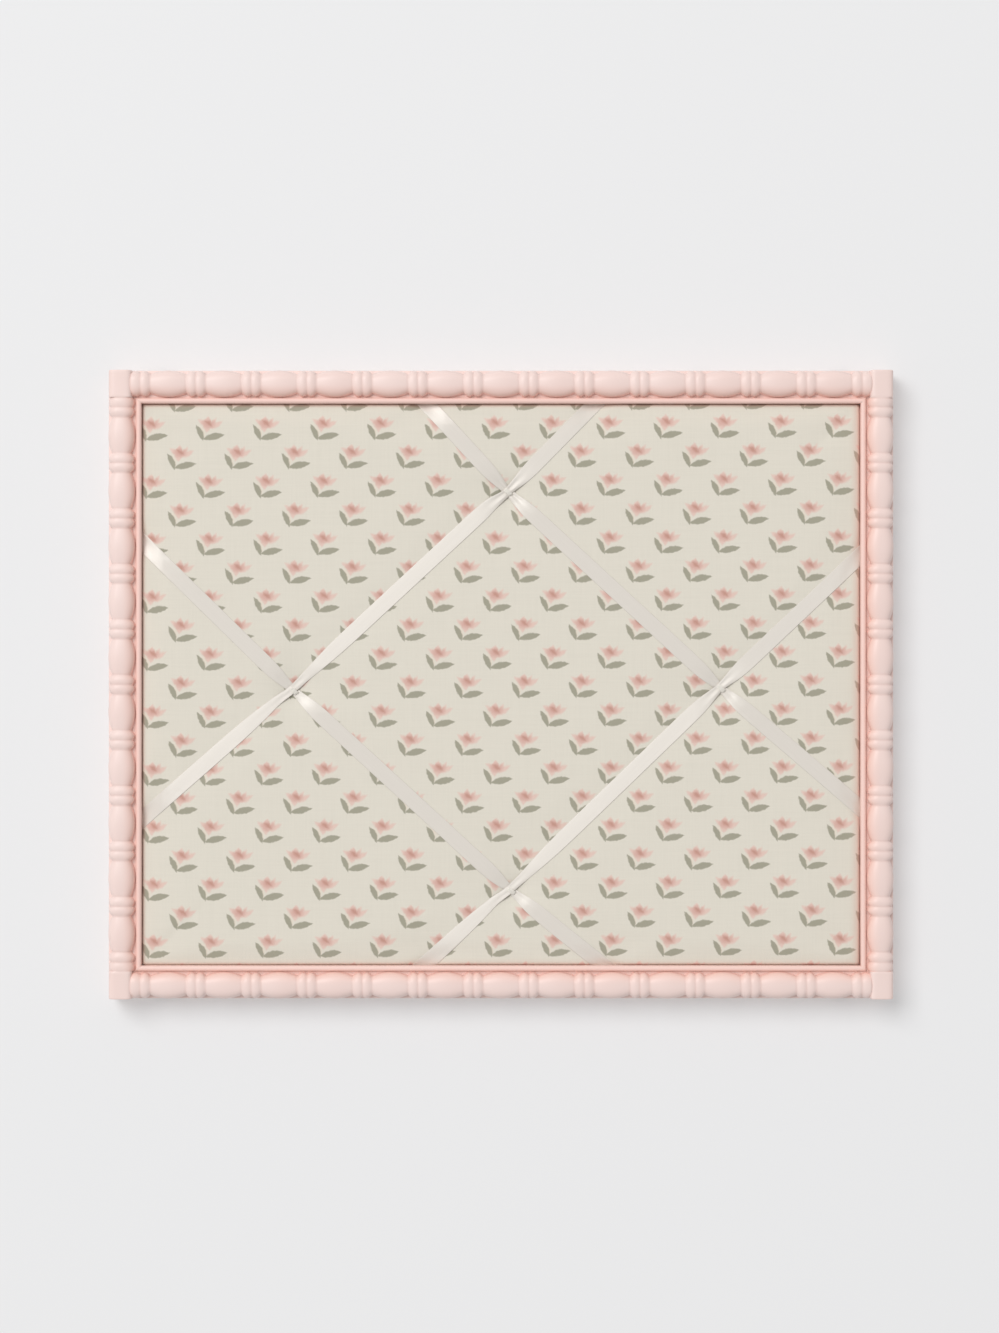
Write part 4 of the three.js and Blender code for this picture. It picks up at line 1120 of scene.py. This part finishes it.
# %% [markdown]
# A ribbon is modelled directly, as a strip. It runs from one panel edge over two crossings to another
# edge, lies on the cloth all the way, and goes round the edge onto the back, where it is stapled. At a tie
# it is drawn in to about half its width, and some of its spare width stands up in pleats. The two upper
# ribbons are drawn in over a longer way at their lower ties, and they are pulled a little to the upper left
# of the straight line. Near a panel edge the rows turn until they lie along that edge, so that the fold is
# straight.

# %% Lay of a ribbon
RIBBON_WIDTH = 10.0
PINCH_WIDTH = 5.2
PULL_WAY = np.array([-1, 1]) / math.sqrt(2)
PLEATS = 1.5
PLEAT_PHASE = 0.5
KNOT_REACH = 2.2
RIBBON_CROWN = 0.22
RIBBON_LIFT = 0.13
RIBBON_BLUR = 4.0
OVER_LIFT = 1.0
OVER_RAMP = (3.0, 16.0)
ACROSS = np.linspace(-1, 1, 25)
MIDDLE = len(ACROSS) // 2


def smoothstep(value, low, high):
    share = np.clip((value - low) / (high - low), 0, 1)
    return share * share * (3 - 2 * share)


def drawn_in(near, reach):
    """1 at a tie, and 0 where a ribbon has its full width."""
    return np.exp(-((near / reach) ** 2))


def strip_rows(tie, way, at, aside, pinch, slant=0.0):
    """Flat rows of a ribbon that leaves a tie, so far along and aside, so much drawn in and slanted."""
    across_way = np.array([-way[1], way[0]])
    half = (RIBBON_WIDTH - (RIBBON_WIDTH - PINCH_WIDTH) * pinch) / 2
    return (tie + at[:, None, None] * way + aside[:, None, None] * PULL_WAY
            + (ACROSS * half[:, None])[..., None] * (across_way + slant * way))


def lie_on_cloth(flat, near, crease, is_over):
    """Depth of a ribbon's rows: on the cloth, over the other ribbon at a tie, pleated where drawn in."""
    line = blurred(cloth_depth(*flat[:, MIDDLE].T), RIBBON_BLUR)
    depth = np.maximum(line[:, None], cloth_depth(flat[..., 0], flat[..., 1])) + RIBBON_LIFT
    pleats = crease * (1 - 0.5 * drawn_in(near, KNOT_REACH))
    waves = 0.5 - 0.5 * np.cos(math.pi * PLEATS * (ACROSS + 1) + PLEAT_PHASE)
    depth += pleats[:, None] * waves + RIBBON_CROWN * (1 - ACROSS ** 2)
    if is_over:
        depth += (OVER_LIFT * (1 - smoothstep(near, *OVER_RAMP)))[:, None]
    return depth


print("points across a ribbon:", len(ACROSS))

# %% Ribbons
RIBBON_THICK = 0.2
RIBBON_STEP = 1.0
PULL_REACH = 14.0
PLEAT_REACH = 12.5
PLEAT_HEIGHTS = {"top": 0.85, "right": 0.5, "left": 0.28, "bottom": 0.28}
SIDE_OUT = 1.2
RIBBON_BACK = 3.5
TURN_OVER = 21.0
TURN_RAMP = (34, 6)
JUST_PAST = 1e-6
TUCK_REACH = 6.0
TUCK_CURVE = 1.5
OVER_SHINE = 0.75
SHINE_INSET = (5, 22)
SHINE_BEYOND = (4, 30)
STRAIGHT_FROM = 20


def end_run(ribbon, i):
    """Rows from one tie over the panel's edge to the ribbon's end on the back, and how far each has run."""
    edge, along, pull, bow = ribbon["via"][i], ribbon["ends"][i], ribbon["pulls"][i], ribbon["bows"][2 * i]
    tie = np.array(CROSSINGS[edge])
    out, edge_way = np.array(EDGES[edge][:2], float)
    way = edge_point(edge, along) + out * SIDE_OUT - tie
    length = np.linalg.norm(way)
    way /= length
    slant = (edge_way @ way) / (edge_way @ [-way[1], way[0]])
    wall = cloth_depth(*(edge_point(edge, along)[:, None]))[0] + RIBBON_LIFT - RIBBON_BACK
    folds = length + np.array([0, wall, wall + TURN_OVER]) / (way @ out)
    at = np.append(np.arange(RIBBON_STEP, length, RIBBON_STEP), folds)
    turn = smoothstep(at, *(length - step for step in TURN_RAMP))[:, None, None] * slant
    aside = (pull + (bow - pull) * smoothstep(at, 0, PULL_REACH)) * np.clip(1 - at / length, 0, 1)
    flat = strip_rows(tie, way, at, aside, drawn_in(at, ribbon["reaches"][i]), turn)
    crease = PLEAT_HEIGHTS[edge] * drawn_in(at, PLEAT_REACH)
    depth = lie_on_cloth(np.clip(flat, -cloth_half, cloth_half), at, crease, ribbon["over"])
    past = flat @ out - EDGES[edge][2] - SIDE_OUT
    down = np.clip(past, 0, wall)
    depth = np.where(past > JUST_PAST, depth[-3] - down, depth)
    shift = np.where(past > wall + JUST_PAST, 2 * past - wall, down) * (past > JUST_PAST)
    flat -= shift[..., None] * out
    return points_at(flat[..., 0], -depth, flat[..., 1]), at


def middle_run(ribbon):
    """Rows of a ribbon from its first tie to its second, and how far each has run."""
    first, last = (np.array(CROSSINGS[name]) for name in ribbon["via"])
    span = np.linalg.norm(last - first)
    at = np.linspace(0, span, int(span / RIBBON_STEP) + 1)
    from_ties = at, span - at
    near = np.minimum(*from_ties)
    pinch = np.maximum(*map(drawn_in, from_ties, ribbon["reaches"]))
    pull = np.interp(at, (0, span), ribbon["pulls"])
    aside = pull + (ribbon["bows"][1] - pull) * smoothstep(near, 0, PULL_REACH)
    flat = strip_rows(first, (last - first) / span, at, aside, pinch)
    crease = np.maximum(*(PLEAT_HEIGHTS[name] * drawn_in(away, PLEAT_REACH)
                          for name, away in zip(ribbon["via"], from_ties)))
    depth = lie_on_cloth(flat, near, crease, ribbon["over"])
    return points_at(flat[..., 0], -depth, flat[..., 1]), at


def ribbon_points(ribbon):
    """Rows of points of a whole ribbon, and how far along each row is."""
    (first, first_at), (last, last_at) = end_run(ribbon, 0), end_run(ribbon, 1)
    middle, at = middle_run(ribbon)
    rows = np.concatenate((first[::-1, ::-1], middle, last))
    along = np.concatenate((-first_at[::-1], at, at[-1] + last_at))
    return rows, along - along[0]


def add_ribbon(ribbon):
    rows, along = ribbon_points(ribbon)
    faces = skin(*rows.shape[:2], around=False)
    made = add_mesh(f"satin_{ribbon['name']}", on_wall(rows), faces, satin, closed=False, crease=180)
    way = rows[-STRAIGHT_FROM, MIDDLE] - rows[STRAIGHT_FROM, MIDDLE]
    turned = Matrix.Rotation(math.atan2(way[0], way[2]), 4, "Y")
    made.data.transform(turned.inverted())
    made.matrix_world = turned
    keep_values(made, "cut", points_at(ACROSS * RIBBON_WIDTH / 2, along[:, None], 0))
    flat = rows[..., [0, 2]]
    inset = np.min(np.array(SIGHT_HALF) - np.abs(flat), axis=-1)
    # How strongly the painted shade shows where the ribbon tucks under the lip.
    keep_values(made, "painted_tuck_shade", np.clip(1 - inset / TUCK_REACH, 0, 1).ravel() ** TUCK_CURVE)
    shine = np.ones(inset.shape)
    if ribbon["over"]:
        beyond = (flat - CROSSINGS[ribbon["via"][1]]).sum(axis=-1) / math.sqrt(2)
        shine = OVER_SHINE * smoothstep(inset, *SHINE_INSET) * (1 - smoothstep(beyond, *SHINE_BEYOND))
    keep_values(made, "shine", shine.ravel())
    thicken(made, RIBBON_THICK, 0)
    settle(made, f"ribbon_{ribbon['name']}")
    return rows, along[-1]


ribbon_rows = {}
for ribbon in RIBBONS:
    ribbon_rows[ribbon["name"]], ribbon_length = add_ribbon(ribbon)
    print("ribbon", ribbon["name"], "is", round(ribbon_length), "mm long")

# %% [markdown]
# Each crossing is sewn with a few turns of thick thread, over the upper ribbon and through the panel to its
# back. Each turn is a closed loop of two-ply thread: a tube whose surface winds round as two strands do.

# %% Thread ties
THREAD = (0.84, 0.81, 0.75, 1)
THREAD_DULL = (0.74, 0.7, 0.63, 1)
THREAD_RADIUS = 0.3
THREAD_SIDES = 8
THREAD_TURNS = (-1.15, -0.6, 0.0, 0.55, 1.1)
PLY_DEPTH = 0.14
PLY_STEP = 2.2
TIE_REACH = 2.9
TIE_BACK = 3.5
ARCH_RISE = 2.0
ARCH_CURVE = 0.6
TURN_LEAN = 0.12
TURN_TAPER = 0.05
CREST_DRAW = 0.12
NEAR_TIE = 2.4
LEG_GAPS = (0.8, 0.7)
BACK_GAP = 0.5


def sewing_thread():
    finish, wire = new_finish("sewing_thread")
    fuzz = wire.noise(wire.place(), 0.25 * MM)
    show(wire, {
        "Base Color": wire.tint(fuzz, THREAD, THREAD_DULL),
        "Roughness": 0.6,
        "Sheen Weight": 0.3,
        "Normal": wire.bump(fuzz, 0.05 * MM, 0.6),
    })
    return finish


def tube(path, radius, sides, ply=0.0):
    """Rings of points round a closed path, with a two-ply twist where it is asked for."""
    path = np.asarray(path, float)
    way = np.roll(path, -1, axis=0) - np.roll(path, 1, axis=0)
    way /= np.linalg.norm(way, axis=1)[:, None]
    normal = np.linalg.svd(path - path.mean(axis=0))[2][2]
    side = np.cross(way, normal)
    side /= np.linalg.norm(side, axis=1)[:, None]
    upward = np.cross(side, way)
    run = np.concatenate(([0], np.cumsum(np.linalg.norm(np.diff(path, axis=0), axis=1))))
    angle = np.linspace(0, 2 * math.pi, sides, endpoint=False)
    swell = radius * (1 + ply * np.cos(2 * angle + 2 * math.pi * run[:, None] / PLY_STEP))
    ring = np.cos(angle)[None, :, None] * side[:, None] + np.sin(angle)[None, :, None] * upward[:, None]
    return path[:, None] + swell[..., None] * ring


def tie_loop(name, sideways):
    """One turn of thread: an arch over the ribbon, drawn in at its crest, two legs and a run behind."""
    tie = np.array(CROSSINGS[name])
    lower, upper = (next(ribbon for ribbon in RIBBONS if ribbon["over"] == is_over and name in ribbon["via"])
                    for is_over in (False, True))
    way = np.subtract(*(CROSSINGS[end] for end in lower["via"][::-1]))
    way = way / np.linalg.norm(way)
    strip = ribbon_rows[upper["name"]].reshape(-1, 3)
    near = np.hypot(strip[:, 0] - tie[0], strip[:, 2] - tie[1]) < NEAR_TIE
    top = -strip[near, 1].min() + THREAD_RADIUS + RIBBON_THICK / 2
    low = top - ARCH_RISE
    reach = TIE_REACH * (1 - TURN_TAPER * sideways ** 2)
    front = [(reach * math.cos(a), low + ARCH_RISE * math.sin(a) ** ARCH_CURVE)
             for a in np.linspace(math.pi, 0, 15)]
    legs = [(reach, depth) for depth in np.linspace(low - LEG_GAPS[0], TIE_BACK + LEG_GAPS[1], 7)]
    back = [(x, TIE_BACK) for x in np.linspace(reach - BACK_GAP, BACK_GAP - reach, 7)]
    along, depth = np.array(front + legs + back + [(-x, depth) for x, depth in legs[::-1]]).T
    spread = np.full(len(along), sideways)
    spread[len(front) // 2] *= 1 - CREST_DRAW
    x, z = (tie + np.outer(along + TURN_LEAN * sideways, way) + np.outer(spread, [-way[1], way[0]])).T
    return points_at(x, -depth, z)


def add_tie(name):
    points, faces = [], []
    for sideways in THREAD_TURNS:
        rings = tube(tie_loop(name, sideways), THREAD_RADIUS, THREAD_SIDES, PLY_DEPTH)
        first = len(points) * rings.shape[0] * rings.shape[1]
        faces += [tuple(first + i for i in face) for face in skin(*rings.shape[:2], along=True)]
        points.append(rings.reshape(-1, 3))
    made = add_mesh(f"thread_tie_{name}", on_wall(np.concatenate(points)), faces, thread, crease=180)
    settle(made, f"tie_stitch_{name}")


thread = sewing_thread()
for name in CROSSINGS:
    add_tie(name)
print("ties:", len(CROSSINGS), "of", len(THREAD_TURNS), "turns each")

# %% [markdown]
# The board behind the padding and the removable back are hardboard, brown with fine fibres. Its back carries
# the print of the wire screen that it was pressed on, and one finish with that print does for both. The
# solids are already flat boards of the right size, so they stay. A small bevel takes their knife edges off.

# %% Hardboard
FIBRE_DARK = (0.17, 0.095, 0.05, 1)
FIBRE_PALE = (0.34, 0.21, 0.125, 1)
BOARD_CLOUD = (0.38, 0.25, 0.15, 1)
SCREEN_DARK = (0.12, 0.065, 0.035, 1)
SCREEN_PITCH = 1.5 * MM
BOARD_BEVEL = 0.35
BEVEL_STEPS = 2
BEVEL_ANGLE = math.radians(50)


def hardboard():
    finish, wire = new_finish("hardboard")
    place = wire.place()
    fibres = wire.noise(place, 1.6 * MM, 6.0)
    clouds = wire.noise(place, 60 * MM)
    lines = [abs(wire.math("SINE", part * (math.pi / SCREEN_PITCH))) for part in wire.split(place, 0, 2)]
    screen = lines[0] * lines[1]
    colour = wire.tint(fibres, FIBRE_DARK, FIBRE_PALE)
    colour = wire.tint((clouds - 0.3).clamped() * 0.5, colour, BOARD_CLOUD)
    colour = wire.tint((1 - screen) * 0.3, colour, SCREEN_DARK)
    show(wire, {
        "Base Color": colour,
        "Roughness": 0.72 + fibres * 0.16,
        "Normal": wire.bump(screen + fibres * 0.4, 0.25 * MM, 0.7),
    })
    return finish


def soften(made, width):
    """Take the knife edges off a piece with a small bevel."""
    edge = made.modifiers.new("soft_edges", "BEVEL")
    edge.width = width * MM
    edge.segments = BEVEL_STEPS
    edge.limit_method = "ANGLE"
    edge.angle_limit = BEVEL_ANGLE


def refinish(node, finish, bevel):
    """Keep a solid's own shape, give it a finish and soften its edges."""
    solid = frame["nodes"][node]
    solid.data.materials.clear()
    solid.data.materials.append(finish)
    soften(solid, bevel)


brown_board = hardboard()
for node in ("back_cover", "panel_board"):
    refinish(node, brown_board, BOARD_BEVEL)
print("hardboard nodes:", len(brown_board.node_tree.nodes))

# %% [markdown]
# All the small fittings are zinc-plated steel: bright, slightly blue, with soft blotches where the plating
# passed over the metal's grain. Nails and staples are plain bent strip and wire, so their solids stay.

# %% Zinc plating
ZINC_DULL = (0.5, 0.52, 0.55, 1)
ZINC_BRIGHT = (0.72, 0.73, 0.74, 1)
WIRE_BEVEL = 0.08


def zinc_plating():
    finish, wire = new_finish("zinc_plating")
    place = wire.place()
    spangle = wire.noise(place, 2.5 * MM, 4.0)
    grain = wire.noise(place, 0.3 * MM)
    show(wire, {
        "Base Color": wire.tint(spangle, ZINC_DULL, ZINC_BRIGHT),
        "Metallic": 1.0,
        "Roughness": 0.24 + spangle * 0.2,
        "Normal": wire.bump(grain, 0.02 * MM, 0.5),
    })
    return finish


zinc = zinc_plating()
wire_nodes = [node for node in frame["nodes"] if node.startswith(("staple_", "corner_nail_"))]
for node in wire_nodes:
    refinish(node, zinc, WIRE_BEVEL)
print("solids kept in zinc:", len(wire_nodes))

# %% [markdown]
# A screw head shows its drive, so a cross is cut into a domed head: a lathe shape with two crossed bars taken
# out by Blender's Boolean. One screw is made and copied to each place.

# %% Screws
HEAD_TOP = 1.8
SCREW_PROFILE = [(0.02, -9.0), (1.2, -6.9), (1.5, -6.4), (1.5, 0.0), (3.1, 0.0), (3.1, 0.75), (2.95, 1.12),
                 (2.6, 1.42), (2.05, 1.65), (1.3, 1.77), (0.02, HEAD_TOP)]
SCREW_SIDES = 40
DRIVE_LENGTH = 3.4
DRIVE_WIDTH = 0.72
DRIVE_DEPTH = 1.1


def lathe(profile, sides):
    """Rings of points round the y axis from (radius, height) pairs."""
    radius, height = np.array(profile).T[..., None]
    angle = np.linspace(0, 2 * math.pi, sides, endpoint=False)
    return points_at(radius * np.cos(angle), height, radius * np.sin(angle))


def box_points(size, middle):
    corners = np.array([(x, y, z) for x in (-1, 1) for y in (-1, 1) for z in (-1, 1)])
    return corners * np.array(size) / 2 + middle


BOX_FACES = [(0, 1, 3, 2), (4, 6, 7, 5), (0, 4, 5, 1), (2, 3, 7, 6), (0, 2, 6, 4), (1, 5, 7, 3)]


def screw_points():
    """Points and faces of one screw whose head sits on y = 0."""
    rings = lathe(SCREW_PROFILE, SCREW_SIDES)
    blank = add_mesh("screw_blank", rings, skin(*rings.shape[:2]), zinc)
    for wide, tall in [(DRIVE_LENGTH, DRIVE_WIDTH), (DRIVE_WIDTH, DRIVE_LENGTH)]:
        arm = box_points((wide, 2 * DRIVE_DEPTH, tall), (0, HEAD_TOP, 0))
        cutter = add_mesh("drive_cutter", arm, BOX_FACES, zinc)
        cut = blank.modifiers.new("drive", "BOOLEAN")
        cut.object = cutter
        cut.operation = "DIFFERENCE"
        cut.solver = "EXACT"
    done = blank.evaluated_get(bpy.context.evaluated_depsgraph_get()).data
    points = np.array([vertex.co for vertex in done.vertices])
    faces = [tuple(face.vertices) for face in done.polygons]
    for scrap in [o for o in scene.objects if o.name.startswith(("screw_blank", "drive_cutter"))]:
        bpy.data.objects.remove(scrap)
    return points, faces


screw_shape, screw_faces = screw_points()


def add_screw(name, side, x, inset, seat, turn):
    """A copy of the screw, turned, with its head raised to its seat. The shank keeps its depth."""
    across, height, inward = screw_shape.T
    across, inward = turn_by(across, inward, math.radians(turn))
    height = np.where(height > -JUST_PAST, height + seat, height)
    placed = points_at(across + x, height, inward + inset - FRAME_HALF[side])
    made = add_mesh(f"{name}_cross", on_side(placed, side), screw_faces, zinc, crease=35)
    settle(made, name)


print("screw faces:", len(screw_faces))

# %% [markdown]
# A turn button is a stamped strip with round ends that swings on its screw to free the back. Its edges are
# rolled by the stamp, and its middle is sunk by a hair. It starts as a lathe shape, from the hole out to the
# edge underneath and back over the top, and its inward half is drawn out to a strip.

# %% Turn buttons
BUTTON_HALF = 4.5
BUTTON_REACH = 11.0
BUTTON_PROFILE = [(1.8, 0.4), (1.9, 0.3), (4.2, 0.3), (BUTTON_HALF, 0.6), (BUTTON_HALF, 1.0), (4.41, 1.21),
                  (4.2, 1.3), (3.2, 1.3), (2.7, 1.28), (1.9, 1.28), (1.8, 1.18)]
BUTTON_SIDES = 64
BUTTON_INSET = 8.0
BUTTON_SEAT = 1.6
FIRST_TURN, NEXT_TURN = 17, 41
ROUND_WITHIN = 2.5
BUTTON_PLACES = [("bottom", "bottom_1", -130), ("bottom", "bottom_2", 130), ("top", "top_1", -130),
                 ("top", "top_2", 130), ("left", "left", 0), ("right", "right", 0)]


def button_rings():
    """Rings of a turn button. Those close to the hole stay round."""
    rings = lathe(BUTTON_PROFILE, BUTTON_SIDES)
    radius = np.array(BUTTON_PROFILE)[:, :1]
    stretch = BUTTON_REACH * (radius / BUTTON_HALF) * (radius > ROUND_WITHIN)
    rings[..., 2] += stretch * (rings[..., 2] > 0)
    return rings


button_shape = button_rings()
for i, (side, label, x) in enumerate(BUTTON_PLACES):
    placed = button_shape + (x, 0, BUTTON_INSET - FRAME_HALF[side])
    made = add_on_side(f"stamped_button_{label}", placed, side, zinc, crease=35, along=True)
    settle(made, f"turn_button_{label}", f"button_{label}")
    drive_turn = FIRST_TURN + NEXT_TURN * i
    add_screw(f"turn_button_screw_{label}", side, x, BUTTON_INSET, BUTTON_SEAT, drive_turn)
print("turn buttons:", len(BUTTON_PLACES))

# %% [markdown]
# Each hanger is a strap of thin steel folded round the bar of a wire loop and screwed to the frame. The
# strap's section shows the fold, so it is drawn as a section and given its width. The loop is a tube along a
# D with small round corners. It swings in the strap, so it rides on its own body.

# %% Hangers
STRAP_HALF = 5.0
STRAP_START = 1.5
STRAP_FLAT = STRAP_START + 6
STRAP_CORNER = 2.5
STRAP_EDGE = 0.15
EYE_INSET = 13.8
EYE_INNER = 1.25
SHEET = 0.7
EYE_OUTER = EYE_INNER + SHEET
STRAP_SCREW = 6.5
HANGER_PLACES = [("left", -95), ("right", 95)]
LOOP_BOW = 8.0
LOOP_STRAIGHT = 5.0
LOOP_CORNER = 2.2
LOOP_WIRE = 1.0
LOOP_SIDES = 16
HANGER_TURN = 30


def strap_section():
    """The folded sheet from the side, as points of (inset, depth)."""
    meet = math.degrees(math.asin((EYE_OUTER - 2 * SHEET) / EYE_OUTER))
    outer = arc((EYE_INSET, EYE_OUTER), (EYE_OUTER, EYE_OUTER), -90, 180 + meet, 30)
    return [(STRAP_START, 0.0), (STRAP_FLAT, 0.0), *outer, (STRAP_FLAT, 2 * SHEET), (STRAP_START, 2 * SHEET)]


def strap_rows():
    """Rows of the section across the strap, drawn in at the free end so that its corners are round."""
    inset, depth = np.array(strap_section()).T
    share = np.linspace(-1, 1, 15)[:, None]
    rounding = np.clip(2 * np.abs(share) - 1, 0, 1)
    corner = STRAP_CORNER * (1 - np.sqrt(1 - rounding ** 2))
    return points_at(share * STRAP_HALF, depth, inset + corner * (inset == STRAP_START))


def loop_path():
    """The D of the loop: a straight bar, two round corners, two straights and a bow."""
    bar = LOOP_BOW - LOOP_CORNER
    path = [(x, 0.0) for x in np.linspace(-bar, bar, 5)]
    path += arc((bar, LOOP_CORNER), (LOOP_CORNER, LOOP_CORNER), -90, 0, 8)[1:]
    path += arc((0, LOOP_STRAIGHT), (LOOP_BOW, LOOP_BOW), 0, 180, 32)
    path += arc((-bar, LOOP_CORNER), (LOOP_CORNER, LOOP_CORNER), 180, 270, 8)[:-1]
    return [(x, 0.0, z) for x, z in path]


for side, x in HANGER_PLACES:
    rows = strap_rows() + (x, 0, -FRAME_HALF[side])
    strap = add_on_side(f"folded_strap_{side}", rows, side, zinc, crease=35)
    soften(strap, STRAP_EDGE)
    settle(strap, f"hanger_strap_{side}")
    rings = tube(loop_path(), LOOP_WIRE, LOOP_SIDES) + (x, EYE_OUTER, EYE_INSET - FRAME_HALF[side])
    loop = add_on_side(f"wire_loop_{side}", rings, side, zinc, crease=60, along=True)
    settle(loop, f"hanger_loop_{side}", f"loop_{side}")
    add_screw(f"hanger_screw_{side}", side, x, STRAP_SCREW, 2 * SHEET, HANGER_TURN + x)
print("hangers:", len(HANGER_PLACES))

# %% [markdown]
# Four rubber bumpers keep the board off the wall. Each is a low dome with a flat where it rests, so a lathe
# shape does it, in a matt dark rubber with a fine moulded grain.

# %% Bumpers
BUMPER_PROFILE = [(0.02, 0.0), (5.55, 0.0), (5.55, 2.6), (5.45, 3.3), (5.15, 4.0), (4.6, 4.6), (3.9, 4.95),
                  (3.1, 5.1), (1.6, 5.1), (0.02, 5.1)]
BUMPER_PLACES = [("bottom", 1, -222), ("bottom", 2, 222), ("top", 1, -222), ("top", 2, 222)]
BUMPER_SIDES = 36
BUMPER_INSET = 8.0
RUBBER = (0.05, 0.05, 0.052, 1)
RUBBER_DUSTY = (0.16, 0.155, 0.15, 1)


def matt_rubber():
    finish, wire = new_finish("matt_rubber")
    place = wire.place()
    grain = wire.noise(place, 0.4 * MM, 4.0)
    dust = wire.noise(place, 5 * MM)
    show(wire, {
        "Base Color": wire.tint((dust - 0.45).clamped(), RUBBER, RUBBER_DUSTY),
        "Roughness": 0.66 + grain * 0.2,
        "Normal": wire.bump(grain, 0.06 * MM, 0.7),
    })
    return finish


rubber = matt_rubber()
for side, number, x in BUMPER_PLACES:
    rings = lathe(BUMPER_PROFILE, BUMPER_SIDES) + (x, 0, BUMPER_INSET - FRAME_HALF[side])
    made = add_on_side(f"rubber_{side}_{number}", rings, side, rubber, crease=50)
    settle(made, f"bumper_{side}_{number}")
print("bumpers:", len(BUMPER_PLACES))

# %% [markdown]
# Last, the box of the dressed board is printed beside the box of the solids.

# %% Sizes and finish
low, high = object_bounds()
sizes = {"cad": [list(cad_low), list(cad_high)], "visual": [list(low), list(high)]}
for name, box in sizes.items():
    print(name, "box, mm:", [[round(1000 * x, 1) for x in corner] for corner in box])
